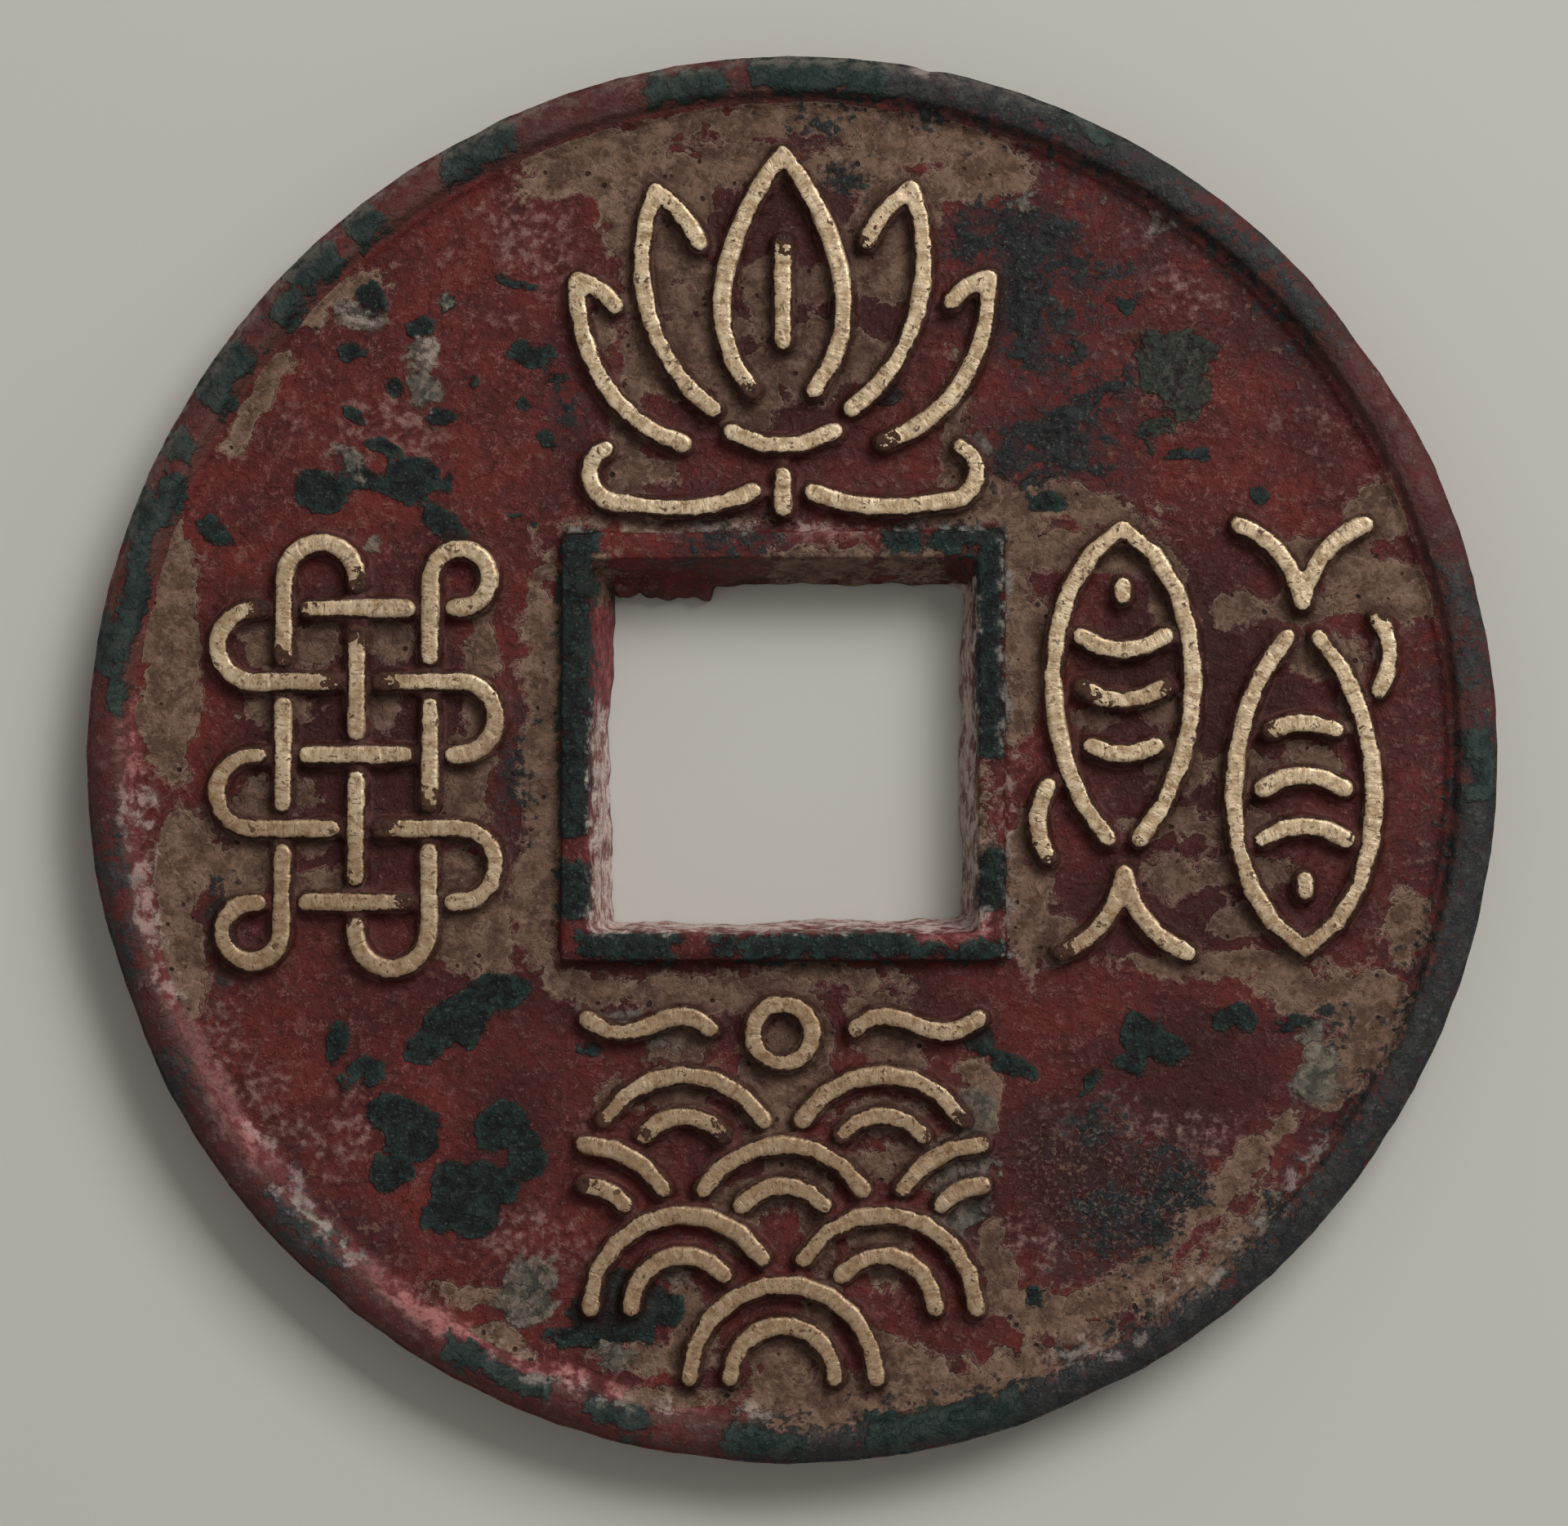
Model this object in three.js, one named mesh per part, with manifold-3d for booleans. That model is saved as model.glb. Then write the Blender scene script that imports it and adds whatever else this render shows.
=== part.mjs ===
// A cast bronze cash coin with a square hole, in millimetres.
// +Z is the obverse and +Y is its top. The origin is the centre of the disc on its reverse plane.
// One casting carries both rims and a set of raised ribs. Each rib is faced with a gold strip of its own.
import * as THREE from "three";
import { mergeVertices } from "three/addons/utils/BufferGeometryUtils.js";
import Module from "manifold-3d";

const wasm = await Module();
wasm.setup();

// Driving dimensions of the casting
const coinRadius = 22.5;
const coinThickness = 2.8;
const reverseRecess = 0.4;
const obverseRecess = 0.65;

// Outer rim, from the edge inwards
const edgeRound = 0.45;
const rimFlat = 0.72;
const rimSlope = 0.5;

// Square hole and its rim. The hole sits a little off the disc's centre and narrows towards the reverse.
const holeCentreX = -0.17;
const holeCentreY = 0.2;
const holeTopWidth = 12.5;
const holeTopHeight = 12.05;
const holeDraft = 0.62;
const holeCorner = 0.2;
const innerRimWidth = 0.8;
const innerRimDrop = 0.08;
const innerRimFlank = 0.08;

// Ribs and their gold facing
const ribHeight = 0.42;
const ribTopHalf = 0.34;
const ribFlank = 0.12;
const goldHalf = 0.3;
const goldThickness = 0.12;

// Where the four ornaments stand
const lotusX = holeCentreX;
const lotusBase = 7.0;
const fishPairX = 13.5;
const fishPairY = 0.4;
const fishHalfSpread = 2.85;
const wavesX = holeCentreX;
const firstWaveRow = -13.2;
const knotX = -13.8;
const knotY = -0.05;

// Lattice of the knot: strand spacing, lead before a loop bends, and room left beside an upper strand
const knotPitch = 2.35;
const knotLead = 0.95;
const knotGap = 0.76;
const knotLastColumn = 2;
const knotLastRow = 4;

// Overlap that roots raised metal in the disc, and how finely round stretches are cut
const root = 0.05;
const discSides = 76;
const arcStep = 20;
const capSteps = 4;
const curveSteps = 8;

const reverseField = reverseRecess;
const obverseField = coinThickness - obverseRecess;
const ribTop = obverseField + ribHeight;
const rimFlatInner = coinRadius - edgeRound - rimFlat;
const rimFoot = rimFlatInner - rimSlope;
const holeLowWidth = holeTopWidth - 2 * holeDraft;
const holeLowHeight = holeTopHeight - 2 * holeDraft;

const bronze = { color: 0x5f2a2a, roughness: 0.7, metalness: 0.25 };
const gold = { color: 0xc8af78, roughness: 0.45, metalness: 0.6 };

// A closed three.js geometry as a solid for joining and cutting
function solidOf(geometry) {
  geometry.deleteAttribute("normal");
  geometry.deleteAttribute("uv");
  const merged = mergeVertices(geometry, 1e-4);
  const vertProperties = merged.attributes.position.array;
  const triVerts = new Uint32Array(merged.index.array);
  return new wasm.Manifold(new wasm.Mesh({ numProp: 3, vertProperties, triVerts }));
}

function geometryOf(solid) {
  const mesh = solid.getMesh();
  const geometry = new THREE.BufferGeometry();
  geometry.setAttribute("position", new THREE.BufferAttribute(mesh.vertProperties, 3));
  geometry.setIndex(new THREE.BufferAttribute(mesh.triVerts, 1));
  geometry.computeVertexNormals();
  return geometry;
}

function meshOf(name, solid, finish) {
  const mesh = new THREE.Mesh(geometryOf(solid), new THREE.MeshStandardMaterial(finish));
  mesh.name = name;
  return mesh;
}

function straight(...corners) {
  return corners.map((p) => new THREE.Vector2(...p));
}

// Points along an arc, or along a spiral where the two radii differ, with angles in degrees
function arc(cx, cy, startRadius, endRadius, startAngle, endAngle) {
  const steps = Math.max(2, Math.round(Math.abs(endAngle - startAngle) / arcStep));
  return Array.from({ length: steps + 1 }, (_, i) => {
    const angle = THREE.MathUtils.degToRad(THREE.MathUtils.lerp(startAngle, endAngle, i / steps));
    const radius = THREE.MathUtils.lerp(startRadius, endRadius, i / steps);
    return new THREE.Vector2(cx + radius * Math.cos(angle), cy + radius * Math.sin(angle));
  });
}

// Points along a smooth curve from start to end, drawn towards two pulls on the way
function sweep(start, startPull, endPull, end) {
  return new THREE.CubicBezierCurve(...straight(start, startPull, endPull, end)).getPoints(curveSteps);
}

// Stretches joined end to end, where a meeting place is kept as one point
function chain(...stretches) {
  const samePlace = 0.05;
  return stretches.flat().filter((p, i, all) => i === 0 || p.distanceTo(all[i - 1]) > samePlace);
}

// The two sides of a band along a centreline, mitred at its corners
function bandSides(points, half, closed) {
  const last = points.length - 1;
  const left = [];
  const right = [];
  points.forEach((point, i) => {
    const before = points[i > 0 ? i - 1 : closed ? last : 0];
    const after = points[i < last ? i + 1 : closed ? 0 : last];
    const into = point.clone().sub(before).normalize();
    const out = after.clone().sub(point).normalize();
    const along = into.add(out).normalize();
    const lead = out.length() > 0 ? out : along;
    const reach = half / along.dot(lead);
    const aside = new THREE.Vector2(-along.y, along.x).multiplyScalar(reach);
    left.push(point.clone().add(aside));
    right.push(point.clone().sub(aside));
  });
  return { left, right };
}

// The half circle that rounds a band's end, without the two corners that it joins
function roundEnd(centre, corner) {
  return Array.from({ length: capSteps - 1 }, (_, i) =>
    corner.clone().rotateAround(centre, (-Math.PI * (i + 1)) / capSteps),
  );
}

// A band's outlines: one round an open band, an outer and an inner one for a ring
function bandOutlines(points, closed, half) {
  const { left, right } = bandSides(points, half, closed);
  if (closed) return [right, left];
  const farEnd = roundEnd(points[points.length - 1], left[left.length - 1]);
  const nearEnd = roundEnd(points[0], right[0]);
  return [[...left, ...farEnd, ...right.toReversed(), ...nearEnd]];
}

// A solid between two levels whose outlines match point for point. The first outline is the outer one.
function loft(lowOutlines, highOutlines, lowLevel, highLevel) {
  const wound = (outlines) =>
    outlines.map((o, i) => (THREE.ShapeUtils.isClockWise(o) === i > 0 ? o : o.toReversed()));
  const low = wound(lowOutlines);
  const high = wound(highOutlines);
  const count = high.flat().length;
  const positions = [];
  low.flat().forEach((p) => positions.push(p.x, p.y, lowLevel));
  high.flat().forEach((p) => positions.push(p.x, p.y, highLevel));
  const index = [];
  for (const [a, b, c] of THREE.ShapeUtils.triangulateShape(high[0], high.slice(1))) {
    index.push(c, b, a, a + count, b + count, c + count);
  }
  let start = 0;
  for (const outline of high) {
    outline.forEach((_, i) => {
      const a = start + i;
      const b = start + ((i + 1) % outline.length);
      index.push(a, b, b + count, a, b + count, a + count);
    });
    start += outline.length;
  }
  const geometry = new THREE.BufferGeometry();
  geometry.setAttribute("position", new THREE.Float32BufferAttribute(positions, 3));
  geometry.setIndex(index);
  return solidOf(geometry);
}

// A rectangle with rounded corners about the hole's centre
function roundedRect(width, height, corner) {
  const x = width / 2 - corner;
  const y = height / 2 - corner;
  const turn = (right, up, from) =>
    arc(holeCentreX + right * x, holeCentreY + up * y, corner, corner, from, from + 90);
  return chain(turn(1, 1, 0), turn(-1, 1, 90), turn(-1, -1, 180), turn(1, -1, 270));
}

// The disc with both outer rims, turned about a bore that the square hole swallows
function discSolid() {
  const bore = holeLowHeight / 3;
  const edge = coinRadius - edgeRound;
  const profile = chain(
    straight([bore, reverseField], [rimFoot, reverseField], [rimFlatInner, 0]),
    arc(edge, edgeRound, edgeRound, edgeRound, -90, 0),
    arc(edge, coinThickness - edgeRound, edgeRound, edgeRound, 0, 90),
    straight([rimFlatInner, coinThickness], [rimFoot, obverseField]),
    straight([bore, obverseField], [bore, reverseField]),
  );
  const geometry = new THREE.LatheGeometry(profile, discSides);
  geometry.rotateX(Math.PI / 2);
  return solidOf(geometry);
}

// The square rim round the hole, on the obverse and on the reverse, each rooted in the disc
function innerRims() {
  const step = 2 * innerRimWidth;
  const spread = 2 * innerRimFlank;
  const outline = (width, height, extra) => [roundedRect(width + extra, height + extra, holeCorner)];
  const obverse = loft(
    outline(holeTopWidth, holeTopHeight, step + spread),
    outline(holeTopWidth, holeTopHeight, step),
    obverseField - root,
    coinThickness - innerRimDrop,
  );
  const reverse = loft(
    outline(holeLowWidth, holeLowHeight, step),
    outline(holeLowWidth, holeLowHeight, step + spread),
    0,
    reverseField + root,
  );
  return obverse.add(reverse);
}

// The tapering square hole, run a little past both faces
function holeSolid() {
  const past = 1;
  const growth = (2 * holeDraft * past) / coinThickness;
  const low = roundedRect(holeLowWidth - growth, holeLowHeight - growth, holeCorner);
  const high = roundedRect(holeTopWidth + growth, holeTopHeight + growth, holeCorner);
  return loft([low], [high], -past, coinThickness + past);
}

// A stroke's runs as bands joined into one solid, which may be wider at its foot than at its top
function strokeSolid({ runs, closed }, footHalf, topHalf, footLevel, topLevel) {
  const bands = runs.map((points) => {
    const foot = bandOutlines(points, closed, footHalf);
    const top = bandOutlines(points, closed, topHalf);
    return loft(foot, top, footLevel, topLevel);
  });
  return bands.reduce((whole, band) => whole.add(band));
}

// A cast rib that leans in to its flat top
function ribSolid(stroke) {
  const footHalf = ribTopHalf + (ribFlank * (ribHeight + root)) / ribHeight;
  return strokeSolid(stroke, footHalf, ribTopHalf, obverseField - root, ribTop);
}

// The gold strip that lies on a rib's flat top
function goldSolid(stroke) {
  return strokeSolid(stroke, goldHalf, goldHalf, ribTop, ribTop + goldThickness);
}

// Named strokes moved to their place, and turned half round where turn is -1.
// A paired stroke has a left and a mirrored right copy.
function strokesAt(cx, cy, { middle = {}, paired = {}, rings = {} }, turn = 1) {
  const strokes = {};
  const put = (name, drawn, side, closed) => {
    const runs = (Array.isArray(drawn[0]) ? drawn : [drawn]).map((points) =>
      points.map((p) => new THREE.Vector2(cx + turn * side * p.x, cy + turn * p.y)),
    );
    strokes[name] = { closed, runs };
  };
  for (const [name, drawn] of Object.entries(middle)) put(name, drawn, 1, false);
  for (const [name, drawn] of Object.entries(rings)) put(name, drawn.slice(0, -1), 1, true);
  for (const [name, drawn] of Object.entries(paired)) {
    put(`${name}_left`, drawn, 1, false);
    put(`${name}_right`, drawn, -1, false);
  }
  return strokes;
}

// Lotus flower above the hole
function lotus() {
  const middle = {
    lotus_centre_petal: [
      sweep([-1.0, 4.6], [-3.0, 7.0], [-1.5, 10.3], [0, 12.3]),
      sweep([0, 12.3], [1.5, 10.3], [3.0, 7.0], [1.0, 4.6]),
    ],
    lotus_heart: straight([0, 6.2], [0, 9.4]),
    lotus_calyx: arc(0, 5.9, 3.1, 3.1, 238, 302),
    lotus_stem: straight([0, 1.9], [0, 0.8]),
  };
  const paired = {
    lotus_inner_petal: [
      sweep([-2.7, 9.4], [-3.0, 10.1], [-3.5, 10.7], [-4.1, 11.1]),
      sweep([-4.1, 11.1], [-5.1, 8.6], [-4.3, 5.4], [-2.2, 4.0]),
    ],
    lotus_outer_petal: [
      sweep([-5.4, 7.4], [-5.7, 7.8], [-6.1, 8.1], [-6.6, 8.2]),
      sweep([-6.6, 8.2], [-6.7, 5.9], [-5.5, 3.6], [-3.2, 2.9]),
    ],
    lotus_leaf: chain(
      sweep([-0.95, 1.35], [-2.0, 0.8], [-3.6, 0.7], [-4.96, 1.0]),
      arc(-5.3, 2.1, 1.15, 0.75, -73, -240),
    ),
  };
  return strokesAt(lotusX, lotusBase, { middle, paired });
}

// Two fish side by side, to the right of the hole, one rising and one turned head down
function fish() {
  const side = (x) => [sweep([0, 6.7], [3.1 * x, 4.9], [2.7 * x, -0.8], [0.5 * x, -3.2])];
  const fluke = (x) => [sweep([0, -4.3], [0.2 * x, -5.4], [0.9 * x, -6.4], [2.0 * x, -6.8])];
  const drawn = {
    body: [...side(-1), ...side(1)],
    tail: [...fluke(-1), ...fluke(1)],
    eye: straight([0, 4.9], [0, 4.5]),
    gill: arc(0, 5.0, 2.2, 2.2, 233, 307),
    upper_scale: arc(0, 3.4, 2.2, 2.2, 234, 306),
    lower_scale: arc(0, 1.7, 2.2, 2.2, 242, 298),
    fin: sweep([-2.4, -1.5], [-2.8, -2.1], [-2.9, -3.0], [-2.4, -3.8]),
  };
  const named = (fishName) => {
    const entries = Object.entries(drawn).map(([part, runs]) => [`${fishName}_${part}`, runs]);
    return { middle: Object.fromEntries(entries) };
  };
  return {
    ...strokesAt(fishPairX - fishHalfSpread, fishPairY, named("rising_fish")),
    ...strokesAt(fishPairX + fishHalfSpread, fishPairY, named("diving_fish"), -1),
  };
}

// Sun over four rows of scalloped waves, below the hole. Each row dips behind the one in front of it.
function waves() {
  const crest = 2.95;
  const trough = 1.65;
  const crestDip = 31;
  const troughDip = 38;
  const halfPitch = 3.15;
  const rowDrop = 2.2;
  const row = (number) => firstWaveRow - number * rowDrop;
  const middle = {
    wave_second_crest: arc(0, row(1), crest, crest, 180 - crestDip, crestDip),
    wave_second_trough: arc(0, row(1), trough, trough, 180 - troughDip, troughDip),
    wave_fourth_crest: arc(0, row(3), crest, crest, 180, 0),
    wave_fourth_trough: arc(0, row(3), trough, trough, 180, 0),
  };
  const paired = {
    wave_mist: sweep([-2.3, -8.8], [-3.6, -7.5], [-4.6, -9.8], [-6.2, -8.5]),
    wave_first_crest: arc(-halfPitch, row(0), crest, crest, 180 - crestDip, crestDip),
    wave_first_trough: arc(-halfPitch, row(0), trough, trough, 180 - troughDip, troughDip),
    wave_side_crest: arc(-2 * halfPitch, row(1), crest, crest, 90, crestDip),
    wave_side_trough: arc(-2 * halfPitch, row(1), trough, trough, 90, troughDip),
    wave_third_crest: arc(-halfPitch, row(2), crest, crest, 180, crestDip),
    wave_third_trough: arc(-halfPitch, row(2), trough, trough, 180, troughDip),
  };
  const rings = { wave_sun: arc(0, -8.95, 0.95, 0.95, 0, 360) };
  return strokesAt(wavesX, 0, { middle, paired, rings });
}

// Half a strand, from the crossing that it passes over to where it dips under the next one.
// An upright strand is followed upwards and a level one to the right, round a loop at the knot's edge.
function knotHalf(column, row) {
  const x = (column - knotLastColumn / 2) * knotPitch;
  const y = (row - knotLastRow / 2) * knotPitch;
  const bend = knotPitch / 2;
  const reach = knotPitch - knotGap;
  const upright = (column + row) % 2 === 0;
  if (upright && row < knotLastRow) return straight([x, y], [x, y + reach]);
  if (!upright && column < knotLastColumn) return straight([x, y], [x + reach, y]);
  if (!upright) {
    const loop = arc(x + knotLead, y - bend, bend, bend, 90, -90);
    return chain(straight([x, y]), loop, straight([x + knotGap, y - knotPitch]));
  }
  if (column < knotLastColumn) {
    const loop = arc(x + bend, y + knotLead, bend, bend, 180, 0);
    return chain(straight([x, y]), loop, straight([x + knotPitch, y + knotGap]));
  }
  const ear = arc(x + knotLead, y + knotLead, knotLead, knotLead, 180, -90);
  return chain(straight([x, y]), ear, straight([x + knotGap, y]));
}

// Interlaced knot to the left of the hole: upright and level strands that pass over and under in turn.
// It looks the same turned half round, so a strand's other half is a half from the far side, turned.
function knot() {
  const middle = {};
  for (let row = 0; row <= knotLastRow; row++) {
    for (let column = 0; column <= knotLastColumn; column++) {
      const ahead = knotHalf(column, row);
      const behind = knotHalf(knotLastColumn - column, knotLastRow - row).map((p) => p.negate());
      const number = Object.keys(middle).length + 1;
      middle[`knot_strand_${number}`] = chain(behind.reverse(), ahead);
    }
  }
  return strokesAt(knotX, knotY, { middle });
}

const strokes = { ...lotus(), ...fish(), ...waves(), ...knot() };

function coinBody() {
  let body = discSolid().add(innerRims());
  for (const stroke of Object.values(strokes)) body = body.add(ribSolid(stroke));
  return body.subtract(holeSolid());
}

const coin = new THREE.Group();
coin.add(meshOf("coin_body", coinBody(), bronze));
for (const [name, stroke] of Object.entries(strokes)) coin.add(meshOf(name, goldSolid(stroke), gold));

export default coin;
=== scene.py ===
import heapq
import math

import bpy
import numpy as np
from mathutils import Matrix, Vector, noise
from mathutils.bvhtree import BVHTree


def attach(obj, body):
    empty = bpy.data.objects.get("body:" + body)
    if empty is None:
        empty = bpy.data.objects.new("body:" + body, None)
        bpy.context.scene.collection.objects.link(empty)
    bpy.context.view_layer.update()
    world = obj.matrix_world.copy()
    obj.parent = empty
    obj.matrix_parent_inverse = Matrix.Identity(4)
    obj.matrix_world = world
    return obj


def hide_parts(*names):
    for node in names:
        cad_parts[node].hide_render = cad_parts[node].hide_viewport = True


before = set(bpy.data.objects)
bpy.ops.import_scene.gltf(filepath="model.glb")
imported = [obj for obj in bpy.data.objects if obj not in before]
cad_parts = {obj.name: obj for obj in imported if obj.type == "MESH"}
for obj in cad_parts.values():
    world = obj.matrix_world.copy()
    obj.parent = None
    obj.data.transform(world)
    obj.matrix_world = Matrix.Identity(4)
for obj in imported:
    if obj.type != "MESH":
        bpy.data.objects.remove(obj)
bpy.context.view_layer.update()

# The coin: one bronze casting with both rims, the tapering square hole and the raised ribs.
# Poured in a two-part mould and dressed at the edge, then rounded and pitted by handling and burial.
MILLIMETRES = 1000.0
SKIN_VOXEL = 0.1
SKIN_TRIANGLES = 194000
RIM_LEVEL = 2.8
HEIGHT_SLACK = 0.045
SAME_PLACE = 0.0005

# Without a seed the noise would be another one in every run
noise.seed_set(7)


def pick(piece):
    """Selects this piece alone."""
    bpy.ops.object.select_all(action="DESELECT")
    piece.select_set(True)
    bpy.context.view_layer.objects.active = piece


def rescaled(piece, factor):
    pick(piece)
    piece.scale = (factor, factor, factor)
    bpy.ops.object.transform_apply(location=False, rotation=False, scale=True)


def copied(node, name):
    """A closed copy of a CAD node, in millimetres, that can be worked on."""
    piece = bpy.data.objects.new(name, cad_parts[node].data.copy())
    bpy.context.scene.collection.objects.link(piece)
    piece.data.materials.clear()
    rescaled(piece, MILLIMETRES)
    bpy.ops.object.mode_set(mode="EDIT")
    bpy.ops.mesh.select_all(action="SELECT")
    bpy.ops.mesh.remove_doubles(threshold=SAME_PLACE)
    bpy.ops.object.mode_set(mode="OBJECT")
    return piece


def worked(piece, kind, **settings):
    """Puts one modifier on a piece and applies it."""
    step = piece.modifiers.new(kind.lower(), kind)
    for name, value in settings.items():
        setattr(step, name, value)
    pick(piece)
    bpy.ops.object.modifier_apply(modifier=step.name)


def roughened(piece, name, grain, height):
    """Raises and sinks the surface by a cloudy pattern of this grain and height."""
    pattern = bpy.data.textures.new(name, "CLOUDS")
    pattern.noise_scale = grain
    pattern.noise_depth = 2
    worked(piece, "DISPLACE", texture=pattern, texture_coords="LOCAL", strength=height, mid_level=0.5)


def places_of(piece):
    flat = np.zeros(len(piece.data.vertices) * 3)
    piece.data.vertices.foreach_get("co", flat)
    return flat.reshape(-1, 3)


def move_to(piece, places):
    piece.data.vertices.foreach_set("co", places.ravel())
    piece.data.update()


def smooth_rise(values, low, high):
    share = np.clip((values - low) / (high - low), 0, 1)
    return share * share * (3 - 2 * share)


def smooth_fall(values, low, high):
    return smooth_rise(-values, -high, -low)


casting = copied("coin_body", "bronze_casting")
worked(casting, "REMESH", mode="VOXEL", voxel_size=SKIN_VOXEL)
worked(casting, "SMOOTH", factor=0.5, iterations=1)
roughened(casting, "casting_waves", grain=3.2, height=0.04)
roughened(casting, "skin_lumps", grain=0.6, height=0.045)
skin = places_of(casting)
reach = np.hypot(skin[:, 0], skin[:, 1])
bearing = np.degrees(np.arctan2(skin[:, 1], skin[:, 0]))

# Both rims are worn to a round back: highest along the middle and falling away to each side
RIM_CREST = 21.72
RIM_HALF = 0.62
RIM_FALL = 0.21
RIM_FALL_ENDS = 1.3
RIM_INNER = 20.7
RIM_SHOULDER = (2.3, 2.65)
HOLE_CENTRE = (-0.17, 0.2)
HOLE_HALF = (6.25, 6.025)
BAR_MIDDLE = 0.4
BAR_HALF = 0.4
BAR_FALL = 0.045
BAR_FALL_ENDS = 1.1
BAR_OUTER = 1.0


def beyond_hole(places):
    """How far each place lies outside the hole's upper edge, or less than 0 inside it."""
    off_x = np.abs(places[:, 0] - HOLE_CENTRE[0]) - HOLE_HALF[0]
    off_y = np.abs(places[:, 1] - HOLE_CENTRE[1]) - HOLE_HALF[1]
    return np.maximum(off_x, off_y)


on_top = smooth_rise(skin[:, 2], *RIM_SHOULDER)
off_crest = np.abs(reach - RIM_CREST) / RIM_HALF
skin[:, 2] -= RIM_FALL * np.clip(off_crest, 0, RIM_FALL_ENDS) ** 2 * on_top * (reach > RIM_INNER)
past_hole = beyond_hole(skin)
off_bar = np.abs(past_hole - BAR_MIDDLE) / BAR_HALF
skin[:, 2] -= BAR_FALL * np.clip(off_bar, 0, BAR_FALL_ENDS) ** 3 * on_top * (past_hole < BAR_OUTER)

# Casting flash: a thin ragged lip left on the hole's upper wall, low down beside its left corner
FLASH_LEFT = (-5.95, -5.6)
FLASH_RIGHT = (-2.65, -2.5)
FLASH_TOP = (0.7, 1.5)
FLASH_WALL = (5.1, 5.3, 6.6)
FLASH_REACH = 0.3
FLASH_TEETH = [(1.9, 0, 0.15), (5.3, 1, 0.08)]
flash_spread = smooth_rise(skin[:, 0], *FLASH_LEFT) * smooth_fall(skin[:, 0], *FLASH_RIGHT)
flash_depth = smooth_fall(skin[:, 2], *FLASH_TOP)
flash_depth = flash_depth * smooth_rise(skin[:, 1], *FLASH_WALL[:2]) * (skin[:, 1] < FLASH_WALL[2])
flash_lip = np.full(len(skin), FLASH_REACH)
for pace, lead, length in FLASH_TEETH:
    flash_lip += length * np.abs(np.sin(skin[:, 0] * pace + lead))
skin[:, 1] -= flash_spread * flash_depth * flash_lip

# The hole's walls were left as the mould gave them, and waver
WALL_WAVES = [(1.9, 0.16), (0.6, 0.07)]
WALL_EASE = 0.25
on_wall = smooth_fall(past_hole, -WALL_EASE, 0)
for i in np.flatnonzero(on_wall > 0):
    for length, height in WALL_WAVES:
        skin[i, :2] += np.array(noise.noise_vector(Vector(skin[i]) / length)[:2]) * height * on_wall[i]

# Knocks on the outer edge: angle round the coin in degrees, width and depth in millimetres
EDGE_KNOCKS = [
    (12, 2.2, 0.04), (35, 4.0, 0.1), (78.5, 0.5, 0.07), (118, 1.7, 0.05), (151, 1.1, 0.04),
    (200, 4.0, 0.09), (229, 1.5, 0.05), (263, 1.8, 0.05), (295, 2.3, 0.08), (327, 0.6, 0.05),
    (349, 1.4, 0.04),
]
KNOCKED_FROM = 21.8
for angle, width, depth in EDGE_KNOCKS:
    off = np.abs((bearing - angle + 180) % 360 - 180) * math.radians(1) * reach
    bite = 1 - depth * smooth_fall(off, 0, width) * (reach > KNOCKED_FROM) / reach
    skin[:, :2] *= bite[:, None]
skin[:, 2] = np.clip(skin[:, 2], -HEIGHT_SLACK, RIM_LEVEL + HEIGHT_SLACK)
move_to(casting, skin)
casting.data.calc_loop_triangles()
worked(casting, "DECIMATE", ratio=min(1.0, SKIN_TRIANGLES / len(casting.data.loop_triangles)))

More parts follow.
